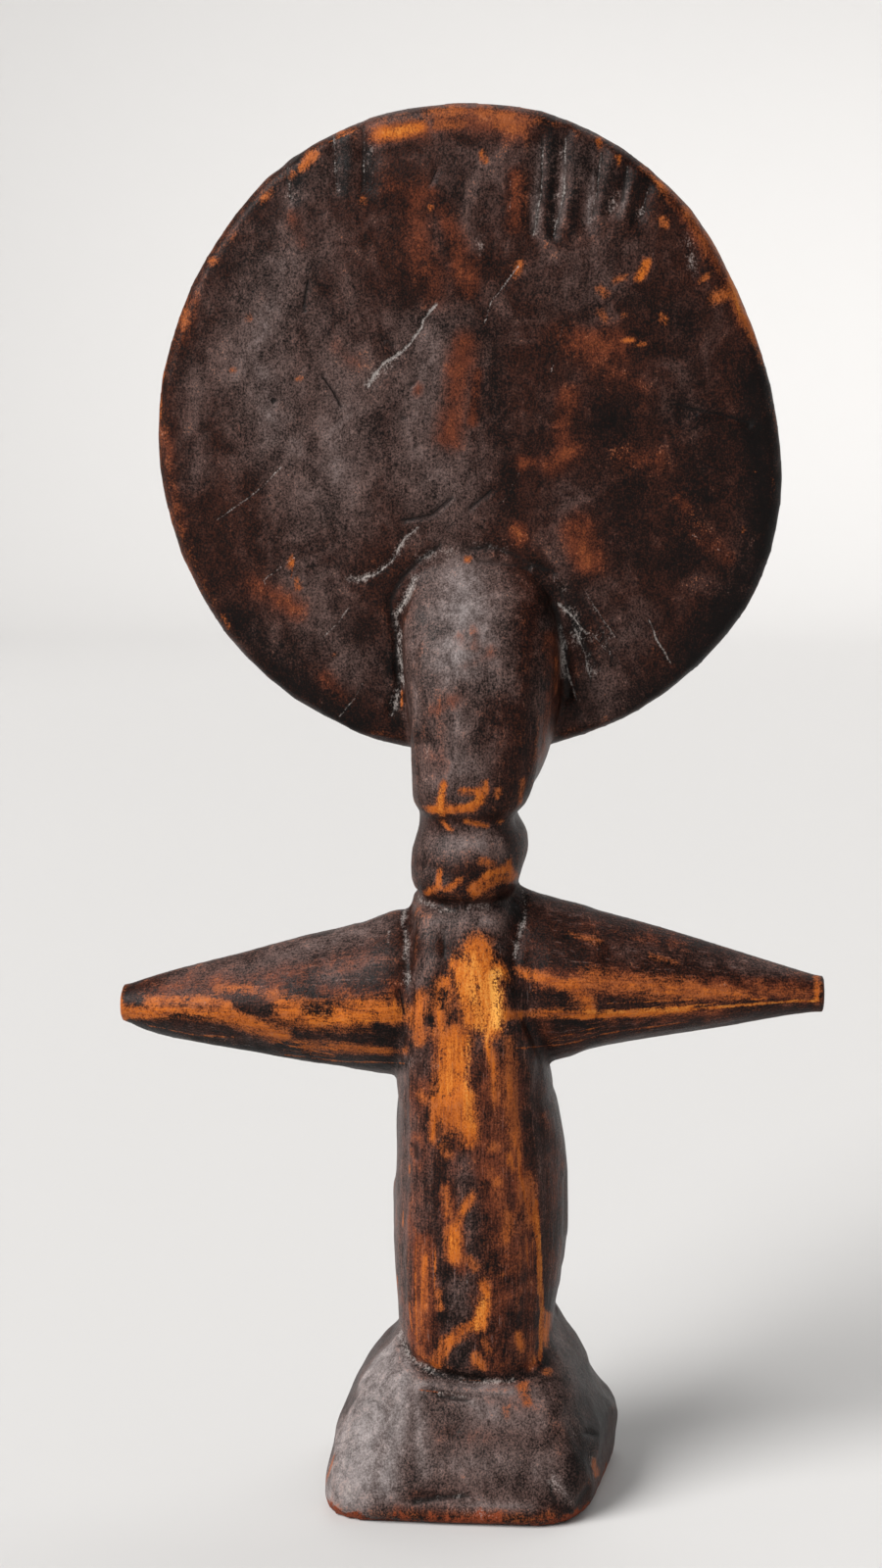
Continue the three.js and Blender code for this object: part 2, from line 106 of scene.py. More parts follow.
# Marks on the back of the wood. A mark is a row of (x, y) points where it shows in that view, in
# pixels, then its half width in pixels, then how strong it is.
# Wood rubbed clear of stain.
WORN = [
    ([(380, 138), (405, 136), (428, 130)], 8, 0.7), ([(436, 116), (470, 112)], 6, 0.3),
    ([(490, 114), (520, 118)], 6, 0.24), ([(445, 128), (470, 127)], 5, 0.3),
    ([(505, 128), (530, 132)], 5, 0.26), ([(299, 180), (308, 170), (320, 158)], 5.5, 0.9),
    ([(268, 204), (276, 196)], 4, 0.55), ([(345, 138), (349, 135)], 4, 0.7), ([(217, 267)], 4, 0.9),
    ([(190, 318), (188, 335)], 3, 0.4), ([(254, 324)], 3, 0.7), ([(237, 377)], 3, 0.7),
    ([(305, 386)], 3, 0.6), ([(440, 212)], 2.5, 0.95), ([(371, 204)], 5, 0.55),
    ([(492, 155), (495, 164)], 3, 0.85), ([(611, 143), (611, 154)], 3, 0.9),
    ([(631, 160), (631, 168)], 2.5, 0.8), ([(676, 223), (679, 230)], 4, 0.75),
    ([(652, 284), (657, 276), (660, 268)], 5, 1), ([(638, 282), (628, 286)], 4, 0.5),
    ([(612, 294), (618, 300)], 5, 0.55), ([(612, 318), (618, 325)], 4, 0.45),
    ([(637, 322)], 3, 0.7), ([(675, 322), (679, 327)], 5, 0.8),
    ([(716, 285), (722, 281)], 3.5, 0.7), ([(728, 305), (740, 300)], 7, 0.55),
    ([(655, 170), (680, 194)], 3, 0.5), ([(700, 212), (712, 224)], 3.5, 0.5),
    ([(722, 238), (746, 274)], 3, 0.55),
    ([(746, 276), (752, 300), (760, 322), (771, 347), (779, 375)], 4.5, 0.8),
    ([(779, 375), (787, 410), (791, 440)], 3, 0.5), ([(530, 270), (526, 280)], 4, 0.8),
    ([(637, 346), (656, 351)], 1.5, 0.9), ([(765, 478), (772, 484), (776, 474)], 8, 0.62),
    ([(760, 537), (759, 543)], 3, 0.75), ([(787, 480), (790, 500)], 3, 0.6), ([(477, 571)], 4, 1),
    ([(298, 570), (296, 577)], 3, 0.85), ([(303, 590), (305, 600)], 3, 0.5),
    ([(410, 706), (410, 718)], 2, 0.9), ([(340, 668)], 3, 0.5), ([(228, 630), (234, 640)], 4, 0.6),
    ([(568, 672), (566, 704)], 3, 0.4), ([(453, 800), (451, 812)], 3.5, 1),
    ([(450, 816), (452, 828)], 5, 1), ([(471, 807), (489, 808)], 2.5, 1),
    ([(489, 808), (491, 816), (481, 824)], 5, 1), ([(481, 824), (463, 826), (439, 826)], 3.5, 1),
    ([(495, 798), (496, 808)], 2.5, 0.9), ([(509, 806), (508, 812)], 3, 0.8),
    ([(451, 838), (461, 848)], 2.5, 0.9), ([(475, 838), (497, 843)], 2.5, 0.9),
    ([(508, 840), (513, 838)], 2, 0.6), ([(533, 796), (531, 818)], 2.4, 0.55),
    ([(481, 908), (499, 892), (519, 886), (525, 894)], 4, 1),
    ([(483, 912), (507, 898), (523, 896)], 4, 0.85),
    ([(435, 912), (447, 904), (449, 890)], 3, 0.85), ([(455, 908), (469, 898)], 3, 0.85),
    ([(491, 878), (503, 882)], 4, 0.55), ([(519, 879)], 2.5, 0.8),
    ([(486, 968), (492, 990), (498, 1015), (500, 1045)], 17, 1),
    ([(470, 985), (478, 1010), (484, 1040)], 14, 0.95),
    ([(455, 1003), (450, 1020), (446, 1048)], 11, 0.85), ([(508, 985), (520, 998)], 6, 0.75),
    ([(430, 1018), (425, 1040), (428, 1060)], 8, 0.75),
    ([(464, 1062), (461, 1105), (460, 1140)], 19, 1), ([(478, 1120), (480, 1163)], 9, 1),
    ([(447, 1120), (444, 1160)], 7, 0.85), ([(497, 1062), (504, 1095), (506, 1128)], 4, 0.66),
    ([(520, 1060), (524, 1100)], 7, 0.42), ([(521, 1100), (526, 1165)], 8, 0.45),
    ([(519, 1177), (523, 1193)], 2.5, 0.7), ([(503, 1170)], 6, 0.55), ([(507, 1207)], 5, 0.6),
    ([(480, 1222), (473, 1237), (466, 1252)], 5, 0.72), ([(455, 1212), (458, 1240)], 4, 0.55),
    ([(430, 1118), (438, 1124)], 5, 0.45), ([(452, 1168), (456, 1178)], 5, 0.6),
    ([(462, 1256), (463, 1282)], 8.5, 0.88), ([(434, 1284), (433, 1335)], 2.6, 0.9),
    ([(449, 1318), (450, 1336)], 3, 0.85), ([(479, 1284), (485, 1294)], 4, 0.5),
    ([(493, 1310), (497, 1321)], 5, 0.85), ([(494, 1330), (489, 1352)], 8.5, 0.92),
    ([(480, 1352), (466, 1360)], 7, 0.85), ([(464, 1366), (455, 1371)], 8, 0.9),
    ([(452, 1378), (446, 1392)], 6.5, 0.92), ([(474, 1366)], 5, 0.6),
    ([(484, 1384), (492, 1393)], 5, 0.8), ([(494, 1368), (498, 1378)], 3.5, 0.6),
    ([(520, 1240), (516, 1262)], 7, 0.45), ([(540, 1200), (541, 1250)], 6, 0.42),
    ([(559, 1340), (557, 1372)], 4.5, 0.85), ([(529, 1362), (532, 1375)], 4, 0.62),
    ([(546, 1386), (541, 1398)], 3, 0.6), ([(513, 1302)], 2, 0.9),
    ([(125, 1034), (180, 1032), (235, 1037)], 7, 0.86),
    ([(150, 1022), (200, 1020), (232, 1026)], 5, 0.68),
    ([(235, 1037), (262, 1048), (290, 1058)], 9, 0.85),
    ([(290, 1030), (320, 1036), (367, 1034), (414, 1036)], 17, 0.76),
    ([(300, 1066), (360, 1070), (410, 1072)], 6, 0.72),
    ([(222, 1010), (252, 1008), (280, 1016)], 5, 0.42),
    ([(121, 1008), (123, 1030), (128, 1042)], 2.5, 0.85),
    ([(525, 990), (560, 1000), (590, 1012)], 6, 0.78),
    ([(585, 1005), (598, 1022), (602, 1034)], 8, 0.82),
    ([(515, 1036), (560, 1034), (592, 1036)], 5, 0.85),
    ([(592, 1037), (650, 1034), (705, 1029)], 4, 0.95), ([(540, 1012), (580, 1020)], 9, 0.4),
    ([(600, 998), (650, 1005), (705, 1012)], 13, 0.38), ([(705, 1012), (760, 1016)], 6, 0.4),
    ([(834, 998), (833, 1020)], 2.5, 0.8), ([(580, 953), (615, 962)], 3, 0.33),
    ([(665, 975), (690, 982)], 4, 0.28), ([(605, 1489), (608, 1503)], 4, 1),
    ([(532, 1408), (538, 1430)], 5, 0.5), ([(516, 1438), (517, 1446)], 4, 0.35),
    ([(547, 1395), (560, 1400)], 5, 0.45),
]
# Narrow lines of bare wood: no strength.
STREAKS = [
    ([(547, 1226), (549, 1263), (551, 1300), (553, 1340), (551, 1385)], 3.4),
    ([(537, 1262), (539, 1293)], 2), ([(528, 1165), (532, 1202), (537, 1227), (546, 1258)], 2.6),
    ([(425, 1255), (424, 1312), (426, 1370)], 1.4), ([(445, 1270), (443, 1322)], 1.4),
    ([(417, 1320), (421, 1360)], 1.6), ([(436, 1280), (434, 1337)], 1.6),
    ([(405, 1302), (406, 1323)], 1.2), ([(419, 1177), (418, 1200)], 1.3),
    ([(414, 1134), (414, 1142)], 1.2), ([(544, 1223), (546, 1262)], 1.6),
    ([(430, 1338), (432, 1372)], 1.2), ([(411, 1225), (412, 1252)], 0.9),
    ([(592, 1039), (650, 1035), (725, 1028), (800, 1022), (835, 1021)], 2.2),
    ([(620, 1024), (700, 1020), (780, 1016)], 1),
    ([(525, 1070), (575, 1066), (625, 1053), (700, 1043)], 1.5), ([(560, 1060), (620, 1046)], 0.9),
    ([(290, 1076), (350, 1083), (412, 1085)], 1.2), ([(240, 1040), (290, 1066), (340, 1076)], 1.6),
    ([(150, 1046), (200, 1056), (240, 1058)], 1), ([(222, 1008), (262, 1007)], 1),
    ([(428, 1418), (447, 1421)], 1.3), ([(331, 1516), (337, 1498), (342, 1484)], 1.6),
    ([(637, 346), (656, 351)], 1), ([(530, 268), (526, 280)], 1.8), ([(451, 838), (461, 848)], 1.6),
    ([(475, 838), (497, 843)], 1.6), ([(508, 840), (513, 838)], 1.3),
    ([(163, 430), (165, 400), (172, 350), (185, 300), (203, 262)], 1.4),
    ([(300, 572), (297, 590)], 1.4), ([(410, 704), (410, 722)], 1.4),
    ([(523, 1104), (520, 1140)], 1.6), ([(500, 1062), (507, 1130)], 1.4),
    ([(472, 1408), (492, 1409)], 0.9), ([(334, 146), (368, 130)], 1.3),
]
# Where the stain is thin and brown.
RUSSET = [
    ([(424, 200), (428, 250), (440, 300)], 22, 0.5),
    ([(452, 215), (466, 255), (476, 296)], 11, 0.62), ([(482, 270), (480, 300)], 8, 0.6),
    ([(474, 350), (464, 400), (456, 446)], 18, 0.66), ([(487, 380), (482, 430)], 6, 0.7),
    ([(527, 180), (525, 230)], 8, 0.6), ([(575, 345), (600, 352), (632, 352)], 17, 0.62),
    ([(580, 405), (572, 446)], 11, 0.6), ([(565, 474), (584, 458)], 11, 0.75),
    ([(592, 540), (600, 572)], 16, 0.8), ([(532, 474), (540, 472)], 7, 0.8),
    ([(528, 540), (530, 550)], 7, 0.7), ([(692, 508), (700, 518)], 6, 0.6),
    ([(640, 470), (665, 470)], 12, 0.45), ([(742, 570)], 8, 0.5),
    ([(700, 545), (730, 560)], 14, 0.35), ([(262, 596), (300, 622)], 18, 0.5),
    ([(192, 310), (184, 350)], 9, 0.5), ([(172, 440), (178, 500), (190, 560), (204, 610)], 8, 0.3),
    ([(330, 690), (350, 715)], 10, 0.5), ([(427, 397)], 8, 0.5),
    ([(300, 225), (310, 250)], 10, 0.4), ([(400, 190), (440, 200)], 12, 0.5),
    ([(220, 240), (290, 250)], 8, 0.3), ([(340, 350), (360, 370)], 10, 0.3),
    ([(610, 370), (650, 400)], 14, 0.3), ([(380, 136), (430, 132)], 12, 0.7),
    ([(450, 122), (535, 128)], 14, 0.75), ([(690, 200), (730, 260), (765, 330)], 9, 0.7),
    ([(400, 1010), (300, 1010), (200, 1005)], 10, 0.5),
    ([(560, 1000), (700, 1008), (820, 1012)], 11, 0.8),
    ([(530, 1052), (620, 1046), (740, 1030)], 8, 0.5), ([(600, 945), (700, 965)], 8, 0.4),
    ([(518, 1090), (534, 1230)], 12, 0.85), ([(538, 1240), (538, 1390)], 12, 0.65),
    ([(430, 1270), (430, 1380)], 13, 0.85), ([(500, 1190), (522, 1300)], 16, 0.75),
    ([(456, 1215), (470, 1290)], 12, 0.7), ([(460, 1060), (470, 1160)], 18, 0.6),
    ([(432, 1110), (420, 1240), (426, 1380)], 16, 0.45),
    ([(500, 1100), (512, 1240), (510, 1385)], 28, 0.62), ([(460, 1180), (462, 1290)], 20, 0.35),
    ([(450, 1460), (520, 1480)], 30, 0.26), ([(500, 1425), (540, 1440)], 16, 0.3),
    ([(400, 1540), (560, 1550)], 8, 0.4), ([(560, 650), (562, 700), (552, 790)], 8, 0.6),
    ([(560, 1120), (566, 1200), (566, 1300)], 9, 0.4),
    ([(400, 975), (250, 1000), (160, 1012)], 16, 0.42), ([(470, 650), (484, 662)], 10, 0.5),
    ([(476, 680), (500, 666)], 10, 0.45), ([(444, 726), (470, 710)], 10, 0.5),
    ([(482, 640), (486, 660)], 6, 0.5), ([(450, 720), (450, 780)], 14, 0.35),
]
# Pale dust.
DUSTY = [
    ([(390, 372), (376, 393)], 7, 0.55), ([(404, 362), (396, 372)], 7, 0.6),
    ([(427, 537), (411, 552), (402, 570)], 4, 0.7),
    ([(402, 570), (385, 585), (367, 592), (355, 590)], 5, 0.75),
    ([(424, 590), (415, 610), (403, 628)], 4.5, 1), ([(403, 628), (407, 645), (410, 695)], 3.6, 1),
    ([(410, 695), (400, 730)], 4, 0.6), ([(582, 620), (592, 640), (602, 652)], 6, 0.8),
    ([(583, 645), (598, 668), (607, 692)], 3, 0.8), ([(594, 600), (611, 626)], 3, 0.6),
    ([(590, 655), (604, 680)], 8, 0.55), ([(573, 640), (575, 690)], 4, 0.8),
    ([(580, 690), (590, 715)], 5, 0.55), ([(560, 585), (575, 600)], 6, 0.5),
    ([(430, 570), (470, 560)], 10, 0.45), ([(480, 555), (520, 560)], 8, 0.35),
    ([(552, 150), (550, 235)], 6, 0.35), ([(572, 150), (566, 235)], 7, 0.4),
    ([(606, 190), (600, 230)], 8, 0.35), ([(630, 200), (622, 215)], 6, 0.5),
    ([(655, 215), (650, 222)], 6, 0.5), ([(700, 240), (708, 278)], 6, 0.55),
    ([(492, 222), (492, 258)], 5, 0.5), ([(294, 172), (296, 205)], 5, 0.5),
    ([(342, 145), (343, 195)], 4, 0.6), ([(378, 150), (375, 195)], 6, 0.45),
    ([(222, 280), (232, 275)], 5, 0.4),
    ([(414, 925), (411, 940), (415, 965), (414, 982), (416, 1003)], 3.4, 0.95),
    ([(427, 917), (450, 929), (475, 928)], 4, 0.7),
    ([(534, 908), (537, 930), (529, 955), (525, 978)], 3.2, 0.9),
    ([(397, 950), (396, 968)], 2, 0.8), ([(385, 968), (391, 960)], 2, 0.5),
    ([(480, 925), (515, 925)], 4, 0.4), ([(408, 1360), (418, 1385), (440, 1399)], 4, 0.9),
    ([(483, 1411), (523, 1408)], 3, 0.8), ([(447, 1422), (477, 1426)], 2.2, 1),
    ([(440, 1400), (480, 1412)], 5, 0.5), ([(352, 1516), (358, 1528)], 8, 0.75),
    ([(460, 1540), (496, 1544)], 8, 0.5), ([(562, 1508), (580, 1528)], 9, 0.55),
    ([(345, 1500), (370, 1430), (400, 1365)], 11, 0.55), ([(400, 1500), (380, 1530)], 10, 0.4),
    ([(425, 1532), (448, 1527), (476, 1525)], 3, 0.5), ([(604, 1486), (602, 1494)], 2.4, 0.8),
    ([(560, 1480), (590, 1460)], 10, 0.3), ([(446, 728), (450, 760)], 6, 0.35),
    ([(436, 705), (436, 800)], 3, 0.35), ([(415, 1080), (440, 1090)], 6, 0.4),
]
# Fine pale scores: no strength.
SCRATCHES = [
    ([(446, 310), (432, 325), (430, 336), (410, 359), (390, 372), (376, 395)], 2),
    ([(530, 270), (515, 290), (500, 310), (494, 330)], 1.4),
    ([(287, 477), (267, 497), (250, 511), (222, 530)], 1.3), ([(292, 540), (270, 557)], 0.8),
    ([(302, 568), (285, 580), (269, 592), (271, 598)], 1.2),
    ([(427, 537), (411, 552), (402, 570), (385, 585), (367, 592)], 1.6),
    ([(357, 619), (345, 635), (329, 651)], 1.1), ([(370, 697), (362, 712), (346, 732)], 1.1),
    ([(576, 320), (567, 362), (560, 390)], 0.9), ([(521, 182), (521, 230)], 0.8),
    ([(295, 170), (296, 203)], 1), ([(341, 140), (342, 190)], 1.1), ([(372, 135), (371, 190)], 1),
    ([(577, 140), (577, 195), (564, 242)], 1.3), ([(555, 140), (552, 200), (545, 240)], 1.1),
    ([(614, 155), (609, 197), (600, 228)], 1.2), ([(641, 168), (637, 196)], 0.9),
    ([(662, 190), (653, 222)], 1), ([(667, 250), (666, 272)], 0.7), ([(700, 240), (708, 280)], 0.9),
    ([(530, 482), (512, 515)], 0.9), ([(707, 545), (728, 556), (747, 570)], 0.8),
    ([(690, 540), (698, 550)], 0.7), ([(662, 632), (670, 652), (684, 676)], 1.5),
    ([(570, 615), (585, 630), (600, 650)], 1.8), ([(604, 646), (622, 668)], 1.2),
    ([(597, 604), (612, 628), (628, 650)], 1.3), ([(587, 642), (597, 668), (603, 694)], 1.3),
    ([(574, 660), (581, 690), (588, 715)], 1.5), ([(612, 640), (632, 676)], 1),
    ([(424, 590), (416, 608), (404, 628)], 1.8), ([(404, 628), (407, 650), (410, 695)], 1.3),
    ([(409, 700), (400, 730)], 1.3), ([(404, 700), (396, 724)], 1.1),
    ([(433, 1183), (445, 1220), (452, 1258)], 0.8), ([(422, 1177), (422, 1243)], 0.7),
    ([(344, 952), (352, 953)], 0.7), ([(322, 989), (338, 989)], 0.7),
    ([(447, 1421), (478, 1426)], 1.3), ([(427, 1450), (434, 1451)], 0.8),
    ([(411, 925), (412, 945)], 0.8), ([(534, 908), (537, 930), (529, 955), (525, 978)], 0.9),
    ([(476, 1330), (476, 1262)], 0.7),
]
# Fine dark cracks and pits: no strength.
CRACKS = [
    ([(314, 286), (312, 300), (309, 315)], 1.7), ([(329, 384), (340, 400), (348, 415)], 1.6),
    ([(279, 409)], 4.4), ([(394, 350)], 2.8), ([(349, 279)], 2.4), ([(411, 425)], 2.6),
    ([(275, 343)], 2), ([(300, 358)], 2), ([(352, 385)], 1.8), ([(465, 1460)], 2.4),
    ([(480, 487)], 2.2), ([(640, 470)], 1.8),
    ([(690, 413), (710, 418), (732, 422), (762, 431)], 1.4), ([(720, 475), (745, 482)], 1.3),
    ([(502, 500), (477, 520)], 1.3), ([(460, 508), (440, 525), (412, 531)], 1.2),
    ([(490, 510), (450, 545), (400, 595)], 0.9), ([(446, 172), (440, 187)], 1.4),
    ([(432, 1146), (434, 1152)], 1.5), ([(466, 1082), (478, 1094)], 0.6),
    ([(466, 1097), (480, 1111)], 0.6), ([(556, 1040), (530, 1042)], 0.8),
    ([(598, 1462), (607, 1464)], 1.2), ([(590, 655), (610, 658)], 0.8),
    ([(600, 1515), (590, 1530)], 1), ([(560, 1515), (566, 1530)], 1),
    ([(408, 1010), (413, 1035)], 1.4),
]
# Where the stain lies thickest, and painted shade: the disc's shaded right side and lower edge, the
# foot's shaded right side, beside the grooves at the top and under the trunk's lower edge.
DARK_AND_SHADE = [
    ([(565, 138), (560, 240)], 4.5, 1), ([(590, 158), (584, 236)], 4.5, 0.9),
    ([(625, 166), (617, 216)], 4.5, 0.8), ([(652, 182), (645, 226)], 4, 0.7),
    ([(303, 160), (303, 205)], 5, 0.8), ([(352, 142), (351, 196)], 5, 0.9),
    ([(376, 136), (376, 190)], 4, 0.7), ([(310, 1030), (335, 1031)], 5, 0.8),
    ([(384, 1046), (398, 1052), (412, 1054)], 5, 0.9), ([(386, 1062), (410, 1064)], 4, 0.8),
    ([(175, 1035), (215, 1037)], 2, 0.8), ([(287, 1067), (303, 1069)], 4, 0.9),
    ([(262, 1030), (276, 1030)], 5, 0.7), ([(290, 1078), (350, 1084), (412, 1086)], 5, 0.9),
    ([(130, 1046), (200, 1060), (280, 1074)], 5, 0.9), ([(476, 1245), (506, 1248)], 8, 0.6),
    ([(455, 1300), (475, 1310)], 9, 0.5), ([(455, 1325), (490, 1328)], 7, 0.6),
    ([(510, 1312), (545, 1305)], 7, 0.5), ([(506, 1330), (510, 1370)], 8, 0.55),
    ([(520, 1345), (545, 1350)], 8, 0.5), ([(470, 1388), (478, 1372)], 8, 0.6),
    ([(414, 1372), (424, 1392), (446, 1402), (484, 1405), (522, 1408), (546, 1402),
      (558, 1388)], 3.5, 1),
    ([(460, 1345), (440, 1345)], 5, 0.7), ([(487, 1088), (492, 1100)], 5, 0.5),
    ([(452, 1010), (450, 1030)], 3, 0.7), ([(440, 1040), (442, 1050)], 3, 0.8),
    ([(525, 1012), (575, 1018)], 6, 0.8), ([(520, 1050), (575, 1048), (640, 1045)], 5, 0.9),
    ([(512, 918), (530, 935)], 7, 0.8), ([(560, 1320), (562, 1335)], 3, 0.9),
    ([(500, 1130), (510, 1150)], 8, 0.6), ([(775, 380), (778, 560), (710, 675)], 24, 1),
    ([(700, 560), (720, 470)], 30, 0.6), ([(640, 720), (700, 690)], 16, 0.6),
    ([(360, 735), (300, 695), (240, 630)], 16, 0.8), ([(640, 180), (590, 160)], 20, 0.4),
    ([(620, 420), (650, 560)], 26, 0.45), ([(690, 420), (750, 440)], 16, 0.5),
    ([(495, 350), (510, 420), (520, 520)], 12, 0.5), ([(548, 580), (560, 620)], 8, 0.7),
    ([(556, 600), (560, 700)], 9, 0.75), ([(575, 600), (590, 640)], 8, 0.6),
    ([(400, 670), (404, 740)], 7, 0.7), ([(618, 1430), (596, 1490)], 14, 1),
    ([(600, 1400), (580, 1520)], 9, 0.5), ([(580, 1540), (560, 1520)], 8, 0.4),
    ([(430, 330), (500, 340)], 10, 0.4), ([(640, 300), (700, 330)], 12, 0.4),
]
# Where handling has left a grey film, and painted sheen on the parts that face the light from the
# upper left: the disc's left side, the neck's top, the left arm's top and the foot's left facet.
GREY_AND_SHEEN = [
    ([(285, 270), (262, 370), (285, 450)], 44, 0.64),
    ([(330, 330), (350, 420), (330, 520)], 50, 0.5), ([(300, 520), (330, 600)], 36, 0.3),
    ([(440, 350), (450, 500)], 50, 0.55), ([(552, 150), (546, 236)], 3.5, 0.7),
    ([(577, 150), (571, 228)], 3, 0.7), ([(606, 175), (600, 228)], 3.5, 0.8),
    ([(640, 185), (634, 220)], 3, 0.8), ([(300, 600), (360, 680)], 36, 0.4),
    ([(450, 230), (480, 170)], 40, 0.34), ([(600, 300), (640, 250)], 40, 0.28),
    ([(560, 450), (600, 600)], 36, 0.24), ([(690, 330), (700, 420)], 30, 0.2),
    ([(640, 640), (610, 700)], 26, 0.3), ([(560, 160), (600, 170)], 30, 0.36),
    ([(380, 134), (460, 122), (535, 126)], 12, 0.8), ([(300, 190), (340, 170)], 26, 0.36),
    ([(200, 380), (200, 480)], 20, 0.34), ([(474, 606), (470, 672)], 36, 1.08),
    ([(462, 700), (462, 785)], 28, 0.68), ([(505, 610), (500, 690)], 20, 0.7),
    ([(420, 640), (425, 740)], 9, 0.5), ([(560, 640), (552, 740)], 10, 0.35),
    ([(440, 865), (490, 862)], 14, 0.6), ([(435, 890), (450, 900)], 9, 0.5),
    ([(505, 860), (515, 872)], 8, 0.5), ([(440, 940), (500, 940)], 14, 0.7),
    ([(470, 960), (510, 965)], 8, 0.4),
    ([(390, 940), (330, 965), (250, 990), (180, 1005)], 16, 0.5),
    ([(400, 975), (330, 990)], 12, 0.5),
    ([(550, 930), (640, 960), (740, 985), (800, 995)], 12, 0.2),
    ([(440, 980), (430, 1000)], 8, 0.5), ([(410, 1090), (404, 1200), (402, 1330)], 8, 0.5),
    ([(432, 1100), (440, 1230)], 12, 0.34), ([(566, 1110), (572, 1200), (572, 1300)], 9, 0.12),
    ([(470, 1190), (480, 1290)], 20, 0.5), ([(478, 1110), (482, 1370)], 58, 0.3),
    ([(420, 1140), (416, 1260), (420, 1380)], 16, 0.6),
    ([(500, 1140), (520, 1260), (520, 1380)], 26, 0.4), ([(470, 1310), (470, 1390)], 20, 0.45),
    ([(430, 1160), (425, 1220)], 8, 0.4), ([(388, 1380), (368, 1450), (352, 1520)], 36, 1.5),
    ([(412, 1390), (392, 1520)], 20, 1.2), ([(372, 1448), (366, 1475)], 5, 1.9),
    ([(425, 1412), (430, 1500)], 18, 0.95), ([(455, 1432), (540, 1436)], 34, 0.75),
    ([(440, 1490), (545, 1496)], 34, 0.68), ([(430, 1412), (520, 1420)], 9, 1),
    ([(400, 1535), (540, 1538)], 8, 0.7), ([(566, 1430), (572, 1500)], 12, 0.36),
    ([(570, 1370), (590, 1420)], 9, 0.5), ([(595, 1440), (600, 1480)], 8, 0.2),
    ([(480, 1530), (540, 1535)], 10, 0.5), ([(560, 1500), (580, 1525)], 9, 0.7),
]
# The brightest wood, with a painted highlight on the spine.
GOLD_AND_HIGHLIGHT = [
    ([(506, 995), (507, 1045)], 9, 1), ([(480, 985), (492, 1050)], 22, 0.6),
    ([(460, 1065), (458, 1110)], 12, 0.45), ([(480, 1065), (481, 1150)], 11, 0.55),
    ([(551, 1240), (552, 1380)], 4, 0.45), ([(493, 1325), (489, 1355)], 8, 0.55),
    ([(600, 1034), (720, 1028), (833, 1021)], 5, 0.5), ([(451, 805), (449, 830)], 6, 0.5),
    ([(470, 822), (492, 815)], 4, 0.4), ([(499, 892), (516, 890)], 5, 0.4),
    ([(395, 136), (425, 131)], 7, 0.5), ([(656, 270), (654, 284)], 5, 0.4),
    ([(745, 280), (757, 320)], 5, 0.45), ([(320, 1040), (367, 1038), (410, 1030)], 12, 0.35),
    ([(463, 1262), (463, 1275)], 8, 0.4),
]

# The same on the front, which is plainer, as (x, z) points and half widths in millimetres.
FRONT_WORN = [
    ([(-1.5, 236), (-1.6, 226)], 1.1, 0.42), ([(-1.5, 224), (-1.4, 213)], 1.5, 0.62),
    ([(-24, 238), (-15, 240.4)], 0.9, 0.45), ([(12, 240.4), (21, 238)], 0.9, 0.4),
    ([(-12, 109)], 2.2, 0.6), ([(9.2, 109)], 2.2, 0.55), ([(0.6, 80)], 2.0, 0.6),
    ([(0.6, 100), (1, 88)], 2.2, 0.4), ([(-78, 121), (-62, 121.5)], 1.3, 0.5),
    ([(-52, 122), (-34, 122)], 1.5, 0.38), ([(28, 124), (44, 123.5)], 1.4, 0.42),
    ([(58, 123.5), (80, 123)], 1.3, 0.5), ([(-9, 66), (-10, 42)], 1.8, 0.42),
    ([(10, 70), (11, 44)], 1.7, 0.42), ([(-50, 304), (-38, 313)], 1.0, 0.45),
    ([(-26, 320), (-6, 325)], 0.9, 0.4), ([(58, 292), (66, 272), (71, 250)], 0.9, 0.4),
    ([(-8, 164), (-2, 163)], 1.2, 0.4), ([(-16, 8)], 2.0, 0.4),
]
FRONT_RUSSET = [
    ([(-30, 290), (10, 300)], 9, 0.7), ([(30, 270), (42, 240)], 9, 0.7),
    ([(-46, 240), (-36, 210)], 8, 0.6), ([(0, 60), (1, 40)], 8, 0.7), ([(0, 130), (1, 96)], 8, 0.6),
]
FRONT_GREY = [
    ([(-34, 268), (-40, 250)], 10, 0.6), ([(-1, 174), (1, 158)], 7, 0.45),
    ([(-12, 24), (-20, 12)], 6, 0.6),
]
FRONT_DUSTY = [
    ([(-11, 147), (-2, 145), (9, 147)], 0.9, 0.7), ([(-14, 41), (0, 35), (14, 41)], 0.9, 0.8),
    ([(-24, 222), (-16, 220), (-9, 222)], 0.8, 0.5), ([(6, 222), (13, 220), (21, 222)], 0.8, 0.5),
]
FRONT_SCRATCHES = [
    ([(-40, 282), (-34, 270)], 0.25), ([(28, 306), (24, 292)], 0.2), ([(36, 222), (42, 208)], 0.25),
    ([(-48, 128), (-40, 127)], 0.2), ([(6, 62), (7, 48)], 0.2), ([(-22, 300), (-17, 288)], 0.2),
]
FRONT_STREAKS = [
    ([(-6, 92), (-7, 60)], 0.3), ([(7, 88), (8.5, 58)], 0.35), ([(-70, 118), (-28, 117)], 0.3),
    ([(26, 130), (74, 126)], 0.3), ([(12, 60), (11.5, 40)], 0.3),
]
# The closed lids and the lips, cut in as fine curved lines.
FRONT_CUTS = [
    ([(-21.5, 228.2), (-18.5, 226.9), (-16, 226.6), (-13, 227), (-10.5, 228.2)], 0.45),
    ([(7.5, 228.2), (10.5, 227), (13, 226.6), (15.5, 226.9), (18.5, 228.2)], 0.45),
    ([(-5.5, 202.2), (-3, 201.7), (0, 201.7), (2.5, 202.2)], 0.45),
]

